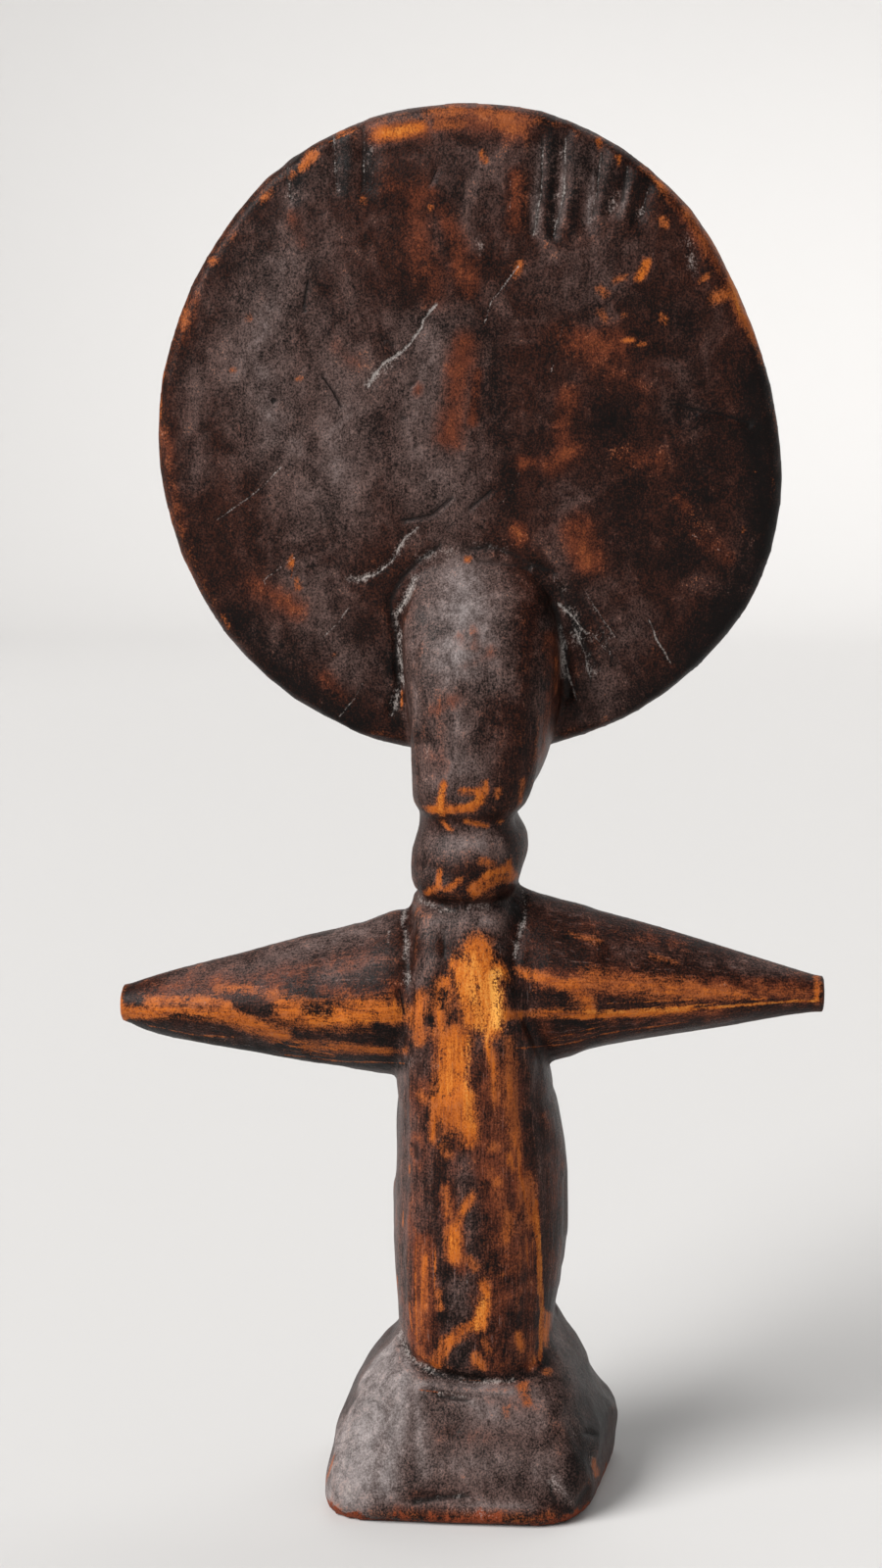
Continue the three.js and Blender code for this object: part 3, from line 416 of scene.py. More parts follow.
# Hollows left by the knife in the back, in millimetres: (x, z) points, half width and depth.
HOLLOWS = [
    ([(-42, 317), (-41.5, 309)], 3.0, 0.45), ([(-31, 322), (-31, 311)], 2.6, 0.5),
    ([(-24, 324), (-24, 311)], 3.2, 0.5), ([(16, 322), (15.5, 300)], 2.6, 0.85),
    ([(21, 322), (18.5, 300)], 2.2, 0.9), ([(29, 318), (26.5, 302)], 2.6, 1.0),
    ([(35.5, 315), (32, 305)], 2.4, 0.65), ([(40.5, 311), (38, 303)], 2.2, 0.6),
    ([(49, 300), (51, 291)], 2.4, 0.35), ([(-17, 273), (-23.5, 266)], 1.8, 0.45),
    ([(-46.5, 262)], 1.0, 0.7), ([(-14, 231), (-22, 222.5), (-28, 220.5)], 1.3, 0.4),
    ([(-14.5, 219), (-17.5, 211), (-17, 196), (-19.5, 188)], 1.2, 0.6),
    ([(20, 216), (21.5, 204), (22, 192)], 1.2, 0.55), ([(24.5, 208), (29, 194)], 1.4, 0.35),
    ([(-15.5, 141), (-14.5, 133), (-14, 126)], 1.0, 0.5),
    ([(12.5, 147), (12.5, 138), (11, 132)], 1.0, 0.5),
    ([(-16.5, 40), (-14, 36), (-7, 33.2), (2, 31.8), (11, 32), (15.5, 34)], 1.4, 1.2),
    ([(33, 22), (34, 19)], 1.6, 0.8), ([(30, 14), (31.5, 9)], 1.3, 0.7), ([(-2, 21.5)], 0.9, 0.5),
    ([(22, 7), (27, 5)], 1.6, 0.35), ([(43.5, 206.5), (46.5, 201)], 0.9, 0.3),
    ([(-8, 284), (-11.5, 279)], 0.9, 0.3), ([(10.5, 292), (5, 285)], 1.0, 0.3),
]

# Folds and cracks in the back, where they show in the view of it: half width in pixels, depth in
# millimetres. They are cut into the wood, and the stain also darkens them, as painted shade in the
# creases.
FOLDS = [
    ([(478, 561), (500, 557), (520, 564), (542, 576), (566, 584)], 4.1, 0.5),
    ([(486, 574), (512, 575), (540, 581)], 2.8, 0.35),
    ([(462, 507), (440, 526), (410, 531)], 2.8, 0.35),
    ([(450, 556), (425, 574), (408, 592), (399, 612)], 3.5, 0.4),
    ([(398, 616), (404, 650), (407, 700)], 3.5, 0.5),
    ([(570, 600), (582, 626), (596, 655), (612, 684)], 3.2, 0.45),
    ([(566, 618), (576, 660), (580, 712)], 4.6, 0.6),
    ([(592, 606), (612, 640), (628, 680)], 2.8, 0.3),
    ([(586, 640), (598, 668), (604, 700)], 2.8, 0.35),
    ([(687, 412), (710, 418), (732, 422), (765, 432)], 2.8, 0.3),
    ([(502, 500), (477, 520)], 2.8, 0.3), ([(314, 286), (310, 315)], 2.8, 0.35),
    ([(329, 384), (341, 400), (347, 415)], 2.8, 0.35),
    ([(422, 1533), (448, 1528), (476, 1526)], 4.1, 0.25), ([(446, 1424), (478, 1430)], 2.8, 0.3),
    ([(452, 948), (454, 974)], 3, 0.4), ([(424, 1168), (426, 1182)], 3.5, 0.4),
    ([(447, 1146), (447, 1160)], 3, 0.35), ([(372, 128), (371, 192)], 3.2, 0.5),
    ([(341, 134), (343, 190)], 2.8, 0.45), ([(294, 170), (296, 204)], 2.8, 0.4),
    ([(577, 138), (577, 195), (566, 240)], 3.2, 0.55),
    ([(553, 140), (552, 200), (545, 238)], 3, 0.5), ([(614, 156), (606, 220)], 3, 0.5),
    ([(640, 172), (635, 206)], 3, 0.45), ([(662, 190), (655, 222)], 2.8, 0.4),
    ([(444, 175), (440, 187)], 2.8, 0.3), ([(408, 424), (413, 427)], 3, 0.5),
    ([(417, 394), (426, 388)], 2.8, 0.4), ([(598, 1462), (607, 1464)], 2.8, 0.4),
    ([(386, 343), (402, 352)], 2.8, 0.3), ([(600, 1518), (588, 1534)], 2.8, 0.35),
    ([(560, 1512), (566, 1532)], 2.8, 0.35), ([(408, 1010), (413, 1035)], 3.2, 0.4),
]


def packed_wood():
    """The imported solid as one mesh, with doubled corners joined."""
    mesh = bmesh.new()
    mesh.from_mesh(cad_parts[NODE].data)
    bmesh.ops.remove_doubles(mesh, verts=mesh.verts, dist=SAME_CORNER)
    joined = bpy.data.meshes.new("packed_wood")
    mesh.to_mesh(joined)
    mesh.free()
    return joined


def even_skin(solid, spacing):
    """The solid's surface again, in even small faces a knife cut can be pressed into."""
    block = bpy.data.objects.new("block", solid)
    bpy.context.scene.collection.objects.link(block)
    remesh = block.modifiers.new("even", "REMESH")
    remesh.mode = "VOXEL"
    remesh.voxel_size = spacing
    remesh.adaptivity = 0.0
    graph = bpy.context.evaluated_depsgraph_get()
    skin = bpy.data.meshes.new_from_object(block.evaluated_get(graph), depsgraph=graph)
    bpy.data.objects.remove(block)
    return skin


class Surface:
    """The wood's surface as arrays: points in millimetres, the edges between them and normals."""

    def __init__(self, mesh):
        self.mesh = mesh
        count = len(mesh.vertices)
        flat = np.empty(count * 3, np.float32)
        mesh.vertices.foreach_get("co", flat)
        self.points = flat.reshape(-1, 3).astype(float) / MM
        ends = np.empty(len(mesh.edges) * 2, np.int32)
        mesh.edges.foreach_get("vertices", ends)
        self.ends = ends.reshape(-1, 2)
        self.degree = np.bincount(self.ends.ravel(), minlength=count).astype(float)
        self.measure()

    def measure(self):
        """Writes the points to the mesh and reads its normals back."""
        flat = (self.points * MM).astype(np.float32).ravel()
        self.mesh.vertices.foreach_set("co", flat)
        self.mesh.update()
        flat = np.empty(len(self.points) * 3, np.float32)
        self.mesh.vertex_normals.foreach_get("vector", flat)
        self.normals = flat.reshape(-1, 3).astype(float)

    def around(self, values):
        """Each point's average over the points it shares an edge with."""
        table = values.reshape(len(values), -1)
        a, b = self.ends.T
        total = np.stack([
            np.bincount(a, column[b], len(values)) + np.bincount(b, column[a], len(values))
            for column in table.T], axis=1)
        return (total / self.degree[:, None]).reshape(values.shape)

    def spread(self, values, rounds):
        """Values softened over the surface."""
        for _ in range(rounds):
            values = 0.5 * values + 0.5 * self.around(values)
        return values

    def ease(self, rounds, share=1.0):
        """Smooths the surface without shrinking it."""
        for _ in range(rounds):
            for pull in (0.5, -0.53):
                self.points += (self.around(self.points) - self.points) * pull * share
        self.measure()

    def push(self, height):
        """Moves the surface in or out along its normals."""
        self.points += self.normals * height[:, None]
        self.points[:, 2] = np.maximum(self.points[:, 2], 0.0)
        self.measure()


def step(low, high, values):
    """A soft step from 0 at low to 1 at high."""
    share = np.clip((values - low) / (high - low), 0, 1)
    return share * share * (3 - 2 * share)


def plate_place(points):
    """How far out of the head's plate, and how far from its middle, each point is."""
    lean = math.radians(PLATE_LEAN)
    offset = points - PLATE_MIDDLE
    out = offset[:, 1] * math.cos(lean) + offset[:, 2] * math.sin(lean)
    up = offset[:, 2] * math.cos(lean) - offset[:, 1] * math.sin(lean)
    return out, np.hypot(offset[:, 0], up)


def zones(points):
    """Which part of the figure each point belongs to, as true and false."""
    x, _, z = points.T
    out, radius = plate_place(points)
    plate = (z > PLATE_LOW) & (radius < PLATE_REACH) & (np.abs(out) < PLATE_THICK)
    arms = (np.abs(x) > ARM_START) & (z > ARM_LOW) & (z < ARM_HIGH)
    foot = z < FOOT_HIGH
    neck = (z > NECK_LOW) & ~plate & ~arms
    return {"plate": plate, "arms": arms, "foot": foot, "neck": neck,
            "trunk": ~(plate | arms | foot | neck)}


def knife_flats(surface, members, cell, tilt, rng):
    """How far flat knife cuts, one in each cell, lift or lower the points of one part."""
    # Beyond its own cell, and where the wood turns away from it, a flat rises, so that each point
    # goes to the flat that lies lowest over it.
    same_side, squarest, free_reach, batch = 0.5, 0.75, 1.5, 4000
    away_slope, turned_slope = 0.12, 4
    index = np.flatnonzero(members)
    points = surface.points[index]
    facing = surface.normals[index]
    spots = points / cell
    free = np.ones(len(index), bool)
    middles = []
    while free.any():
        pick = rng.choice(np.flatnonzero(free))
        close = ((spots - spots[pick]) ** 2).sum(1) < 1
        free &= ~(close & (facing @ facing[pick] > same_side))
        free[pick] = False
        middles.append(pick)
    centre = points[middles]
    normal = facing[middles] + rng.normal(0, math.radians(tilt), (len(middles), 3))
    normal /= np.linalg.norm(normal, axis=1, keepdims=True)
    height = np.zeros(len(index))
    for first in range(0, len(index), batch):
        part = slice(first, first + batch)
        gap = centre[None] - points[part, None]
        along = facing[part] @ normal.T
        far = np.maximum(((gap / cell) ** 2).sum(2) - free_reach, 0)
        turned = np.maximum(squarest - along, 0)
        cut = np.einsum("ijk,jk->ij", gap, normal) / np.maximum(along, same_side)
        height[part] = (cut + away_slope * far + turned_slope * turned).min(1)
    result = np.zeros(len(surface.points))
    result[index] = height - np.median(height)
    return result


class View:
    """The wood seen from one side: where each point shows, and how squarely it faces that side.

    Marks are given in the view's own unit, which is so many millimetres.
    """

    def __init__(self, flat, facing, unit=1.0):
        self.unit = unit
        self.flat = flat * unit
        self.facing = facing

    def from_line(self, line):
        """Distance from a row of points, its sign by the side, and how far past its ends."""
        knots = np.array(line, float) * self.unit
        best = np.full(len(self.flat), FAR)
        side = np.full(len(self.flat), FAR)
        past = np.zeros(len(self.flat))
        if len(knots) == 1:
            best = np.hypot(*(self.flat - knots[0]).T)
            return best, best, past
        for number, (a, b) in enumerate(zip(knots, knots[1:])):
            run = b - a
            length = np.hypot(*run)
            away = self.flat - a
            along = away @ run / length
            held = np.clip(along, 0, length)
            gap = np.hypot(*(away - held[:, None] * run / length).T)
            closer = gap < best
            best = np.where(closer, gap, best)
            across = (away[:, 0] * run[1] - away[:, 1] * run[0]) / length
            side = np.where(closer, across, side)
            over = np.zeros(len(away))
            if number == 0:
                over = np.maximum(over, -along)
            if number == len(knots) - 2:
                over = np.maximum(over, along - length)
            past = np.where(closer, over, past)
        return best, side, past

    def painted(self, marks, softness, spill=0.3):
        """How strongly a set of marks covers each point, from 0 to 1."""
        value = np.zeros(len(self.flat))
        for line, half, strength in marks:
            gap, _, _ = self.from_line(line)
            half = half * self.unit
            soft = step(half * (0.4 - 0.5 * softness), half * (1.0 + 0.7 * softness) + spill, gap)
            value = np.maximum(value, strength * (1 - soft))
        return value * self.facing

    def scored(self, lines):
        """For thin lines: the signed distance to the nearest one, and its half width there."""
        # The line dies away beyond its ends, and where it is more than widest from its middle.
        end_slope, before_end, side_slope, widest, squarely = 0.5, 0.3, 2.2, 1.1, 0.4
        nearest = np.full(len(self.flat), FAR)
        side = np.full(len(self.flat), LINE_REACH)
        reach = np.full(len(self.flat), -1.0)
        for line, half in lines:
            half = half * self.unit
            gap, across, past = self.from_line(line)
            ends = half - end_slope * np.maximum(past + before_end, 0)
            fade = half - side_slope * np.maximum(gap - widest, 0)
            width = np.clip(np.minimum(ends, fade), -1, half)
            closer = gap < nearest
            nearest = np.where(closer, gap, nearest)
            side = np.where(closer, np.clip(across, -LINE_REACH, LINE_REACH), side)
            reach = np.where(closer, width, reach)
        return side, np.where(self.facing > squarely, reach, -1.0)


def back_view(surface):
    """The back, where a mark is given by the pixels at which it shows."""
    turn, heading = math.radians(VIEW_TURN), math.radians(VIEW_TURN + VIEW_ASIDE)
    tilt = math.radians(VIEW_TILT)
    level = np.array([-math.sin(heading), math.cos(heading), 0.0])
    ahead = level * math.cos(tilt) - np.array([0.0, 0.0, math.sin(tilt)])
    right = np.array([math.cos(heading), math.sin(heading), 0.0])
    up = np.cross(right, ahead)
    eye = np.array([math.sin(turn), -math.cos(turn), 0.0]) * VIEW_DISTANCE / MM
    eye[2] = VIEW_HEIGHT / MM
    away = surface.points - eye
    depth = away @ ahead
    scale = VIEW_LENS / FRAME_HEIGHT * PICTURE[1]
    flat = np.stack([
        PICTURE[0] / 2 + scale * (away @ right) / depth,
        PICTURE[1] / 2 - scale * (away @ up) / depth], 1)
    to_camera = np.array([0.07, -0.99, 0.12])
    facing = step(-0.05, 0.25, surface.normals @ to_camera)
    return View(flat, facing, VIEW_DISTANCE / MM / scale)


def side_view(surface, facing):
    """The front or the back, where a mark is given in millimetres."""
    return View(surface.points[:, [0, 2]], facing)


def knife_cuts(surface):
    """How far the flat knife cuts lift or lower the whole surface."""
    blend_rounds, wide_rounds, soft_rounds = 10, 150, 5
    rng = np.random.default_rng(CUT_SEED)
    part = zones(surface.points)
    height = np.zeros(len(surface.points))
    most = np.zeros(len(surface.points))
    for name, cell, tilt, limit in KNIFE_CUTS:
        inside = step(0.55, 1.0, surface.spread(part[name].astype(float), blend_rounds))
        height += inside * knife_flats(surface, part[name], np.array(cell, float), tilt, rng)
        most += inside * limit
    height = np.clip(height - surface.spread(height, wide_rounds), -most, most)
    return surface.spread(height, soft_rounds)


def carve(spacing, relief):
    """The finished surface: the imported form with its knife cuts, hollows and fine lines."""
    surface = Surface(even_skin(packed_wood(), spacing))
    surface.ease(rounds=3)
    surface.push(knife_cuts(surface) * relief)
    back = side_view(surface, step(-0.05, 0.3, -surface.normals[:, 1]))
    hollow = np.maximum(
        back.painted(HOLLOWS, 0.5, spill=0.0), back_view(surface).painted(FOLDS, 0.3))
    surface.push(-hollow * relief)
    front = side_view(surface, step(0.0, 0.3, surface.normals[:, 1]))
    for line, _ in FRONT_CUTS:
        gap, _, _ = front.from_line(line)
        surface.push(-LID_DEPTH * front.facing * (1 - step(*LID_EDGE, gap)))
    surface.ease(rounds=1, share=0.6)
    return surface


def bends(surface):
    """Where the surface turns outward, as on an edge, and inward, as in a crease."""
    bend = ((surface.points - surface.around(surface.points)) * surface.normals).sum(1)
    wide = surface.spread(bend, 3)
    sharp_edge, sharp_crease = np.percentile(wide, (98, 1.5))
    return np.clip(wide / sharp_edge, 0, 1), np.clip(wide / sharp_crease, 0, 1)


def mark(surface):
    """Stores on the mesh where the wood is worn, dusty, scratched and cracked, and where shade,
    sheen and a highlight are painted.
    """
    points = surface.points
    back = back_view(surface)
    front = side_view(surface, step(0.0, 0.3, surface.normals[:, 1]))
    at_front = front.facing > back.facing
    edge, crease = bends(surface)
    x, _, z = points.T
    arms = step(13, 21, np.abs(x)) * ((z > ARM_LOW) & (z < ARM_HIGH))
    streaky = surface.spread(
        sum(STREAKY[name] * members for name, members in zones(points).items()), 6)

    def both(back_marks, front_marks, softness):
        """Broad marks of the back and the front."""
        return np.maximum(
            back.painted(back_marks, softness), front.painted(front_marks, softness))

    def thin(back_lines, front_lines):
        """Thin lines of the back and the front."""
        side, reach = back.scored(back_lines)
        other, width = front.scored(front_lines)
        return np.where(at_front, other, side), np.where(at_front, width, reach)

    # The folds, kept for painted shade in the stain.
    fold_shade = back.painted([(line, half, 1.0) for line, half, _ in FOLDS], 0.5)
    store = {
        "worn_marks": (
            both(WORN, FRONT_WORN, 0.6), both(RUSSET, FRONT_RUSSET, 1.6),
            both(DUSTY, FRONT_DUSTY, 0.8)),
        # Thick stain with painted shade, grey film with painted sheen, and bright wood with a
        # painted highlight.
        "stain_film_gold_and_painted_light_marks": (both(DARK_AND_SHADE, [], 0.8), both(GREY_AND_SHEEN, FRONT_GREY, 1.8), both(GOLD_AND_HIGHLIGHT, [], 1.0)),
        "form_marks": (edge, crease, arms),
        "scratch_marks": (*thin(SCRATCHES, FRONT_SCRATCHES), streaky),
        "crack_and_fold_shade_marks": (*thin(CRACKS, FRONT_CUTS), fold_shade),
        "streak_marks": (*thin(STREAKS, FRONT_STREAKS), np.zeros(len(points))),
    }
    for name, values in store.items():
        layer = surface.mesh.attributes.new(name, "FLOAT_VECTOR", "POINT")
        layer.data.foreach_set("vector", np.stack(values, 1).astype(np.float32).ravel())


class Value:
    """A number that changes over the wood. Arithmetic on it adds the Math nodes."""

    def __init__(self, recipe, socket):
        self.recipe = recipe
        self.socket = socket

    def _math(self, operation, *inputs):
        return self.recipe.node("ShaderNodeMath", {"operation": operation}, inputs)

    def __add__(self, other):
        return self._math("ADD", self, other)

    __radd__ = __add__

    def __sub__(self, other):
        return self._math("SUBTRACT", self, other)

    def __rsub__(self, other):
        return self._math("SUBTRACT", other, self)

    def __mul__(self, other):
        return self._math("MULTIPLY", self, other)

    __rmul__ = __mul__

    def top(self, other):
        """The larger of the two."""
        return self._math("MAXIMUM", self, other)

    def size(self):
        """The number without its sign."""
        return self._math("ABSOLUTE", self)

    def rise(self, start, full, most=1.0):
        """0 up to start, then softly up to most at full."""
        return self.recipe.node(
            "ShaderNodeMapRange", {"interpolation_type": "SMOOTHSTEP", "clamp": True},
            {"Value": self, "From Min": start, "From Max": full, "To Min": 0.0, "To Max": most})


class Recipe:
    """A finish, mixed from nodes."""

    def __init__(self, name):
        self.material = bpy.data.materials.new(name)
        self.material.use_nodes = True
        self.tree = self.material.node_tree
        self.shader = self.tree.nodes["Principled BSDF"]
        self._held = {}

    def node(self, kind, settings=None, inputs=(), output=0):
        """Adds a node: its settings first, then the value or link of each socket."""
        made = self.tree.nodes.new(kind)
        for name, choice in (settings or {}).items():
            setattr(made, name, choice)
        pairs = inputs.items() if isinstance(inputs, dict) else enumerate(inputs)
        for key, given in pairs:
            if isinstance(given, Value):
                self.tree.links.new(given.socket, made.inputs[key])
            else:
                made.inputs[key].default_value = given
        return Value(self, made.outputs[output])

    def place(self, stretch=(1.0, 1.0, 1.0)):
        """The place on the wood in millimetres, stretched along each axis."""
        if "place" not in self._held:
            self._held["place"] = self.node("ShaderNodeTexCoord", output="Object")
        scale = tuple(amount / MM for amount in stretch)
        return self.node(
            "ShaderNodeVectorMath", {"operation": "MULTIPLY"}, [self._held["place"], scale])

    def noise(self, stretch, detail, roughness, twist=0.0):
        """Even noise from 0 to 1, about one speck to the millimetre before it is stretched."""
        return self.node("ShaderNodeTexNoise", None, {
            "Vector": self.place(stretch), "Scale": 1.0, "Detail": detail,
            "Roughness": roughness, "Distortion": twist})

    def marks(self, name):
        """The three numbers that a set of marks stores on the mesh."""
        held = self.node("ShaderNodeAttribute", {"attribute_name": name}, output="Vector")
        parts = self.node("ShaderNodeSeparateXYZ", None, [held])
        outputs = parts.socket.node.outputs
        return tuple(Value(self, outputs[number]) for number in range(3))

    def coat(self, colour, over, share):
        """One colour laid over another where share is 1."""
        return self.node(
            "ShaderNodeMix", {"data_type": "RGBA"}, {0: share, 6: colour, 7: over}, output=2)

    def shade(self, colour, amount):
        """A colour made lighter or darker by a number."""
        return self.node("ShaderNodeVectorMath", {"operation": "SCALE"}, {0: colour, 3: amount})

    def feed(self, **sockets):
        """Sets or links the shader's own sockets."""
        for name, given in sockets.items():
            socket = self.shader.inputs[name.replace("_", " ")]
            if isinstance(given, Value):
                self.tree.links.new(given.socket, socket)
            else:
                socket.default_value = given


def paint(colour):
    """A colour as a colour socket takes it."""
    return (*colour, 1.0)


def worn_stain_and_painted_light(look):
    """Dark stain rubbed through to orange wood, with dust in its creases and fine knife scores, and
    painted shade, sheen and highlight.
    """
    wood = Recipe("worn_dark_stain_and_painted_light")
    worn, russet, dusty = wood.marks("worn_marks")
    dark, grey, gold_and_highlight = wood.marks("stain_film_gold_and_painted_light_marks")
    edge, crease, arms = wood.marks("form_marks")
    score_side, score_reach, streaky = wood.marks("scratch_marks")
    crack_side, crack_reach, fold_shade = wood.marks("crack_and_fold_shade_marks")
    streak_side, streak_reach, _ = wood.marks("streak_marks")

    def grain(across, along, detail, roughness=0.6):
        """Noise drawn out along the grain: upright in the body, sideways in the arms."""
        body = wood.noise((across, across, along), detail, roughness)
        limb = wood.noise((along, across, across), detail, roughness)
        return (body + (limb - body) * arms - 0.5) * streaky

    cloud = wood.noise((0.036, 0.036, 0.03), 3.0, 0.5) - 0.5
    drift = wood.noise((0.10, 0.10, 0.08), 5.0, 0.6, 0.8) - 0.5
    mottle = wood.noise((0.36, 0.36, 0.28), 6.0, 0.7, 0.5) - 0.5
    grit = wood.noise((2.3, 2.3, 2.0), 3.0, 0.72) - 0.5
    fibre = grain(0.9, 0.06, 5.0, 0.65)
    thread = grain(3.0, 0.22, 3.0)

    # The stain: near black, broken up by fine flecks that turn from red brown to grey with the film
    # of handling and with painted sheen, and to orange brown where the stain is thin.
    # The grey marks give real film and painted sheen on the parts that face the light.
    film_and_sheen = grey * 1.05 + cloud * 0.6 + drift * 0.8 + mottle * 0.3 + fibre * 0.3 - russet * 0.3
    tint = wood.coat(paint(look.stain_fleck), paint(look.brown_fleck), film_and_sheen.rise(0.0, 0.5))
    cast = wood.shade(tuple(look.film_and_sheen), mottle * 1.5 + fibre * 1.0 + grit * 1.0 + 0.96)
    tint = wood.coat(tint, cast, film_and_sheen.rise(0.4, 1.25))
    thin = russet + worn * 0.3 + edge * 0.1 - grey * 0.1
    thin = thin + drift * 0.9 + mottle * 0.4 + fibre * 0.4 + thread * 0.2
    tint = wood.coat(tint, paint(look.thin_stain), thin.rise(0.15, 0.6, 0.9))
    tint = wood.coat(tint, paint(look.warm_stain), thin.rise(0.5, 1.2, 0.9))
    calm = 1 - film_and_sheen.rise(0.3, 1.2, 0.5)
    flecks = (grit * 2.0 + mottle * 0.25 + thread * 0.9 + drift * 0.4 + fibre * 0.3) * calm
    # Film and painted sheen bring out the flecks; the dark marks, thick stain and painted shade,
    # hold them back.
    flecks = (flecks + film_and_sheen * 0.17 + thin * 0.16 - dark * 0.3).rise(-0.3, 0.45)
    ground = wood.coat(paint(look.stain), paint(look.brown_fleck), film_and_sheen.rise(0.4, 1.3, 0.45))
    ground = wood.coat(ground, paint(look.thin_stain), thin.rise(0.3, 1.0, 0.45))
    stain = wood.coat(ground, tint, flecks)
    haze = (thread * 1.3 + fibre + grit * 0.5).rise(0.16, 0.5, 0.5)
    stain = wood.coat(stain, paint(look.film_and_sheen), haze)
    stain = wood.shade(stain, mottle * 1.1 + drift * 0.4 + 1.04)

    # Bare wood: orange, deeper in the pores and between the fibres, gold where it is most rubbed
    # and as a painted highlight on the spine.
    hue = mottle * 1.5 + fibre * 1.5 + grit * 1.5 + worn * 0.22 + gold_and_highlight * 0.3
    bare = wood.coat(paint(look.deep_wood), paint(look.bare_wood), hue.rise(-0.25, 0.55))
    # The gold marks give rubbed wood and the painted highlight.
    bright = gold_and_highlight + fibre * 1.1 + grit * 1.1 + thread * 0.6
    bare = wood.coat(bare, paint(look.gold_and_highlight_wood), bright.rise(0.3, 1.2, 0.85))
    dull = (mottle + grit + thread + 0.1 - gold_and_highlight * 0.3).rise(0.0, 0.5, 0.5)
    bare = wood.coat(bare, paint(look.brown_fleck), dull)

    ragged = mottle * 1.1 + fibre * 1.1 + grit * 1.3 + thread * 0.6
    # The dark marks, thick stain and painted shade, also keep the bare wood from showing.
    rub = worn * 0.88 + russet * 0.16 + edge * 0.2 - crease * 0.3 - dark * 0.6
    rub = rub + ragged * (worn * 0.7 + edge * 0.2 + 0.42) * look.raggedness
    speck = (grit + mottle * 0.5 + drift * 0.9 + worn * 0.2 + russet * 0.1).rise(0.27, 0.33)
    height = wood.node("ShaderNodeSeparateXYZ", None, [wood.place()], output=2)
    foot_edge = (RAW_HEIGHT + drift * 14.0 + mottle * 6.0 - height).rise(-0.3, 0.4)
    wander = mottle * 0.9 + drift * 0.8
    breaks = grit * 0.8 + mottle * 0.8
    streak = streak_reach + (breaks + fibre * 0.8) * 0.9 - (streak_side + wander * 0.5).size()
    rubbed = rub.rise(0.38, 0.74, 0.95).top(speck * 0.7).top(streak.rise(-0.06, 0.2, 0.9))
    halo = rub.rise(0.10, 0.5, 0.8)
    colour = wood.coat(stain, paint(look.warm_stain), halo * (flecks * 0.7 + 0.3))
    colour = wood.coat(colour, bare, rubbed)
    bared = (ragged + drift + 0.16).rise(-0.1, 0.4)
    raw = wood.coat(paint(look.stain), paint(look.raw_edge), bared)
    raw = wood.coat(raw, paint(look.bare_wood), (ragged + worn * 0.4).rise(0.35, 0.9, 0.7))
    colour = wood.coat(colour, raw, foot_edge)

    # Pores, cracks and pits go dark, and the folds darken as painted shade; dust and scores go
    # pale.
    pore = (thread * 1.2 + grit * 0.8).rise(0.16, 0.34) * (mottle + fibre).rise(-0.16, 0.2)
    colour = wood.coat(colour, paint(look.crack), pore * 0.6)
    score = (score_reach * 1.5 + breaks * 1.3 - (score_side + wander * 1.3).size()).rise(0.02, 0.45)
    crack = (crack_reach + breaks * 0.5 - (crack_side + wander * 0.6).size()).rise(-0.02, 0.14)
    # The fold lines take the crack colour as painted shade in the creases.
    colour = wood.coat(colour, paint(look.crack), crack.top((fold_shade + breaks).rise(0.45, 1.1)) * 0.9)
    powder = dusty * 0.62 + crease * 0.08 + grit * 1.6 + mottle * 1.4 + drift * 0.8
    powder = powder.rise(0.36, 0.95, 0.75)
    colour = wood.coat(colour, paint(look.dust), powder)
    colour = wood.coat(colour, paint(look.dust), score * breaks.rise(-0.30, 0.2, 0.85))

    relief = (
        mottle * 0.20 + fibre * 0.11 + grit * 0.075 + thread * 0.03 - pore * 0.06
        - rubbed * 0.05 - score * 0.10 - crack * 0.3 - fold_shade * 0.2 + powder * 0.03)
    normal = wood.node("ShaderNodeBump", None, {
        "Strength": 1.0, "Distance": MM, "Height": relief * look.relief})
    gloss = (
        look.roughness - grit * 0.35 + mottle * 0.35 + rubbed * 0.06
        + powder * 0.35 + foot_edge * 0.2)
    wood.feed(Base_Color=colour, Roughness=gloss, Normal=normal, Specular_IOR_Level=0.10)
    return wood.material


def plain_finish(name, colour, roughness):
    """One even colour."""
    finish = Recipe(name)
    finish.feed(Base_Color=paint(colour), Roughness=roughness, Specular_IOR_Level=0.2)
    return finish.material


def colour_setting(name, description, default):
    """A colour the user can change."""
    return FloatVectorProperty(
        name=name, description=description, size=3, subtype="COLOR", min=0.0, max=1.0,
        default=default)


def share_setting(name, description, default, most, least=0.0):
    """A number without a unit that the user can change."""
    return FloatProperty(
        name=name, description=description, default=default, min=least, max=most,
        subtype="FACTOR")


def length_setting(name, description, default, least, most, precision=3):
    """A length the user can change."""
    return FloatProperty(
        name=name, description=description, default=default, min=least, max=most,
        precision=precision, unit="LENGTH")


def angle_setting(name, description, degrees):
    """An angle the user can change."""
    return FloatProperty(
        name=name, description=description, default=math.radians(degrees), subtype="ANGLE")


def strength_setting(name, description, default, most):
    """A light's strength that the user can change."""
    return FloatProperty(
        name=name, description=description, default=default, min=0.0, max=most)


class FIGURINE_PG_carving(bpy.types.PropertyGroup):
    """How the wood is cut."""

    spacing: length_setting(
        "Surface Spacing", "Size of the faces that carry the knife cuts", 0.00098, 0.0006, 0.004,
        precision=5)
    relief: share_setting(
        "Knife Relief", "Depth of the knife cuts, as a share of the full depth", 1.0, 1.5)


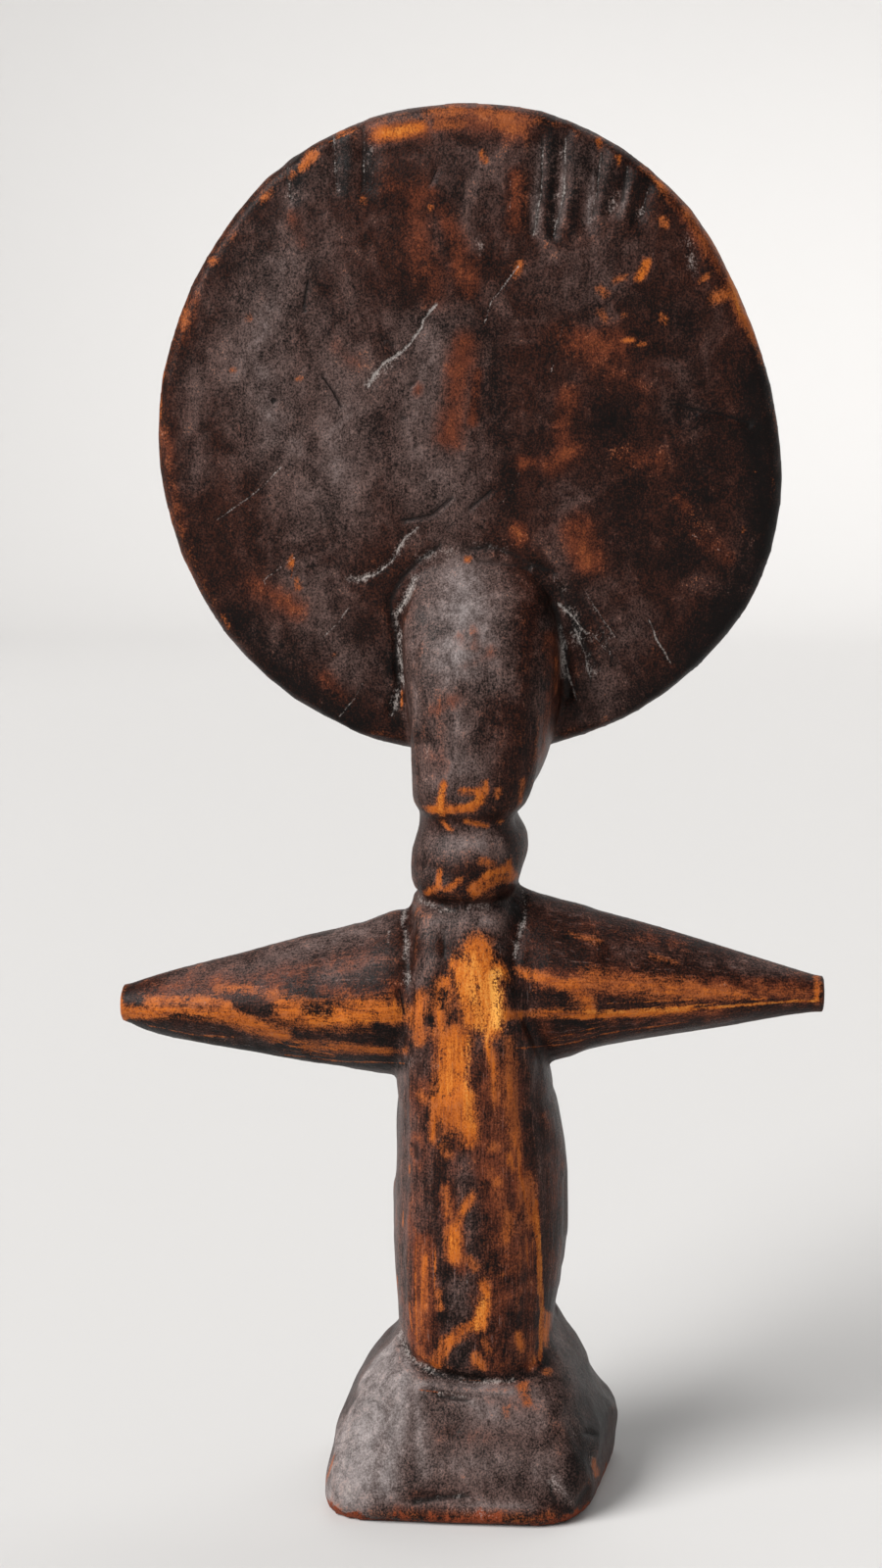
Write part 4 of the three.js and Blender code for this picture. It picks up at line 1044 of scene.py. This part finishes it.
class FIGURINE_PG_finish(bpy.types.PropertyGroup):
    """The stain's and the wood's colours, and how they are worn."""

    stain: colour_setting("Stain", "The stain where it is thick", (0.0030, 0.0020, 0.0018))
    stain_fleck: colour_setting(
        "Stain Fleck", "The fine flecks in the dark stain", (0.048, 0.0135, 0.0075))
    brown_fleck: colour_setting(
        "Brown Fleck", "The fine flecks in the handled stain", (0.104, 0.064, 0.056))
    thin_stain: colour_setting(
        "Thin Stain", "The flecks where the stain is thin", (0.128, 0.031, 0.013))
    warm_stain: colour_setting(
        "Warm Stain", "The flecks where the wood glows through", (0.275, 0.072, 0.018))
    # The grey film's colour, also used as painted sheen on the lit side.
    film_and_sheen: colour_setting(
        "Grey Film", "The dull film on the smooth high parts", (0.215, 0.188, 0.184))
    deep_wood: colour_setting(
        "Deep Wood", "Bare wood that has kept some stain", (0.155, 0.030, 0.006))
    bare_wood: colour_setting("Bare Wood", "Wood rubbed clear of stain", (0.48, 0.122, 0.012))
    # Also the colour of the painted highlight on the spine.
    gold_and_highlight_wood: colour_setting("Gold Wood", "The most rubbed wood", (0.88, 0.43, 0.09))
    raw_edge: colour_setting(
        "Raw Edge", "The foot's lowest edge, which never took the stain", (0.20, 0.042, 0.015))
    dust: colour_setting("Dust", "Dust in the creases and scores", (0.33, 0.295, 0.275))
    # Also the colour of the painted shade in the folds.
    crack: colour_setting("Crack", "The inside of cracks and pores", (0.006, 0.0048, 0.0045))
    raggedness: share_setting(
        "Ragged Edges", "How ragged the edge of the worn wood is", 1.15, 2.0)
    relief: share_setting("Grain Relief", "Depth of the grain and fine marks", 1.0, 3.0)
    roughness: share_setting("Roughness", "How dull the stain is", 0.40, 1.0, least=0.05)


class FIGURINE_PG_studio(bpy.types.PropertyGroup):
    """The floor, the light and the camera."""

    backdrop: colour_setting("Backdrop", "Colour of the floor and the wall", (0.585, 0.58, 0.575))
    reach: length_setting(
        "Floor Reach", "From the figure to the wall far behind it", 3.4, 1.0, 10.0)
    turn: angle_setting("Camera Turn", "How far the camera is round to the right", VIEW_TURN)
    distance: length_setting(
        "Camera Distance", "From the figure's middle line, along the floor", VIEW_DISTANCE,
        0.2, 5.0)
    height: length_setting("Camera Height", "Above the floor", VIEW_HEIGHT, 0.0, 3.0)
    tilt: angle_setting("Camera Tilt", "How far the camera looks down", VIEW_TILT)
    aside: angle_setting(
        "Camera Aside", "How far the camera looks to the left of the figure", VIEW_ASIDE)
    lens: FloatProperty(
        name="Lens", description="Focal length over a 36 mm tall frame, in millimetres",
        default=VIEW_LENS, min=10.0, max=300.0)
    window: strength_setting(
        "Window Light", "Strength of the soft light from the upper left", 4.95, 50.0)
    glow: strength_setting(
        "Wall Glow", "Strength of the soft light from the figure's front", 1.7, 50.0)
    sky: strength_setting("Room Light", "Strength of the light from all round", 0.19, 5.0)


class FIGURINE_OT_carve(bpy.types.Operator):
    """Cut the knife marks into the figurine's wood and mark where it is worn"""

    bl_idname = "figurine.carve"
    bl_label = "Carve the Wood"

    def execute(self, context):
        settings = context.scene.figurine_carving
        surface = carve(settings.spacing, settings.relief)
        mark(surface)
        surface.mesh.name = PIECE
        surface.mesh.shade_smooth()
        piece = bpy.data.objects.new(PIECE, surface.mesh)
        context.scene.collection.objects.link(piece)
        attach(piece, "root")
        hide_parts(NODE)
        return {"FINISHED"}


class FIGURINE_OT_stain(bpy.types.Operator):
    """Stain the carved wood, wear the stain away and paint in shade, sheen and highlight"""

    bl_idname = "figurine.stain"
    bl_label = "Stain the Wood"

    def execute(self, context):
        piece = bpy.data.objects[PIECE]
        piece.data.materials.clear()
        piece.data.materials.append(worn_stain_and_painted_light(context.scene.figurine_finish))
        return {"FINISHED"}


def soft_light(name, comes_from, width, strength, colour):
    """A broad even light, like a window or a white wall, from one direction."""
    light = bpy.data.lights.new(name, "SUN")
    light.energy = strength
    light.angle = math.radians(width)
    light.color = colour
    holder = bpy.data.objects.new(name, light)
    bpy.context.scene.collection.objects.link(holder)
    holder.location = Vector(comes_from) * 2
    holder.rotation_euler = Vector(comes_from).to_track_quat("Z", "Y").to_euler()


class FIGURINE_OT_studio(bpy.types.Operator):
    """Set the figurine on a pale floor in soft light, with the camera behind its back"""

    bl_idname = "figurine.studio"
    bl_label = "Set Up the Studio"

    def execute(self, context):
        studio = context.scene.figurine_studio
        self.sweep(context, studio)
        self.lights(context, studio)
        self.camera(context, studio)
        return {"FINISHED"}

    def sweep(self, context, studio):
        """A wide floor that curves up into a wall, low all round and high at the far end."""
        turns, curve, bend, climb, lip, squareness = 72, 16, 1.0, 2.4, 0.02, 6
        around = []
        for number in range(turns):
            turn = 2 * math.pi * number / turns
            across, ahead = math.cos(turn), math.sin(turn)
            size = (abs(across) ** squareness + abs(ahead) ** squareness) ** (1 / squareness)
            around.append((across / size, ahead / size))
        flat = studio.reach - bend
        profile = [(flat * 0.5, 0.0), (flat, 0.0)]
        for number in range(1, curve + 1):
            slope = math.radians(90 * number / curve)
            profile.append((flat + bend * math.sin(slope), bend - bend * math.cos(slope)))
        verts = [(0.0, 0.0, 0.0)]
        for out, up in profile:
            verts += [(out * across, out * ahead, up) for across, ahead in around]
        verts += [(
            studio.reach * across, studio.reach * ahead,
            bend + lip + climb * max(0.0, ahead)) for across, ahead in around]
        faces = [(0, 1 + number, 1 + (number + 1) % turns) for number in range(turns)]
        for ring in range(len(profile)):
            first, last = 1 + ring * turns, 1 + (ring + 1) * turns
            for number in range(turns):
                after = (number + 1) % turns
                faces.append((first + number, last + number, last + after, first + after))
        mesh = bpy.data.meshes.new("pale_sweep")
        mesh.from_pydata(verts, [], faces)
        mesh.shade_smooth()
        mesh.materials.append(plain_finish("pale_backdrop", studio.backdrop, 0.9))
        sweep = bpy.data.objects.new("pale_sweep", mesh)
        context.scene.collection.objects.link(sweep)

    def lights(self, context, studio):
        """A window to the upper left, a pale wall beyond the figure, and the room all round."""
        soft_light("window", (-0.62, -0.52, 0.59), 38, studio.window, (1.0, 0.985, 0.97))
        soft_light("wall_glow", (0.25, 0.76, 0.60), 70, studio.glow, (1.0, 0.995, 0.985))
        world = bpy.data.worlds.new("soft_room")
        world.use_nodes = True
        ground = world.node_tree.nodes["Background"]
        ground.inputs["Color"].default_value = (1.0, 1.0, 1.0, 1.0)
        ground.inputs["Strength"].default_value = studio.sky
        context.scene.world = world
        context.scene.view_settings.view_transform = "Standard"

    def camera(self, context, studio):
        """The camera, at the photograph's height, distance and tilt."""
        camera = bpy.data.cameras.new("back_view")
        # The sensor's width goes with the longer side of the frame, and so with its height here.
        camera.sensor_width = FRAME_HEIGHT
        camera.lens = studio.lens
        camera.clip_start = 0.01
        holder = bpy.data.objects.new("back_view", camera)
        context.scene.collection.objects.link(holder)
        holder.location = (
            studio.distance * math.sin(studio.turn), -studio.distance * math.cos(studio.turn),
            studio.height)
        heading = studio.turn + studio.aside
        aim = Vector((
            -math.sin(heading) * math.cos(studio.tilt), math.cos(heading) * math.cos(studio.tilt),
            -math.sin(studio.tilt)))
        holder.rotation_euler = aim.to_track_quat("-Z", "Y").to_euler()
        context.scene.camera = holder


class FIGURINE_PT_panel(bpy.types.Panel):
    """The figurine's steps, sizes and colours"""

    bl_idname = "FIGURINE_PT_panel"
    bl_label = "Figurine"
    bl_space_type = "VIEW_3D"
    bl_region_type = "UI"
    bl_category = "Figurine"

    def draw(self, context):
        for operator, group in (
                (FIGURINE_OT_carve, "figurine_carving"), (FIGURINE_OT_stain, "figurine_finish"),
                (FIGURINE_OT_studio, "figurine_studio")):
            box = self.layout.box()
            box.operator(operator.bl_idname)
            settings = getattr(context.scene, group)
            for name in settings.__annotations__:
                box.prop(settings, name)


CLASSES = (
    FIGURINE_PG_carving, FIGURINE_PG_finish, FIGURINE_PG_studio, FIGURINE_OT_carve,
    FIGURINE_OT_stain, FIGURINE_OT_studio, FIGURINE_PT_panel,
)
GROUPS = {
    "figurine_carving": FIGURINE_PG_carving, "figurine_finish": FIGURINE_PG_finish,
    "figurine_studio": FIGURINE_PG_studio,
}


def register():
    for kind in CLASSES:
        bpy.utils.register_class(kind)
    for name, group in GROUPS.items():
        setattr(bpy.types.Scene, name, PointerProperty(type=group))


def unregister():
    for name in GROUPS:
        delattr(bpy.types.Scene, name)
    for kind in reversed(CLASSES):
        bpy.utils.unregister_class(kind)


def main():
    """Runs every step in order."""
    register()
    bpy.ops.figurine.carve()
    bpy.ops.figurine.stain()
    bpy.ops.figurine.studio()


if __name__ == "__main__":
    main()
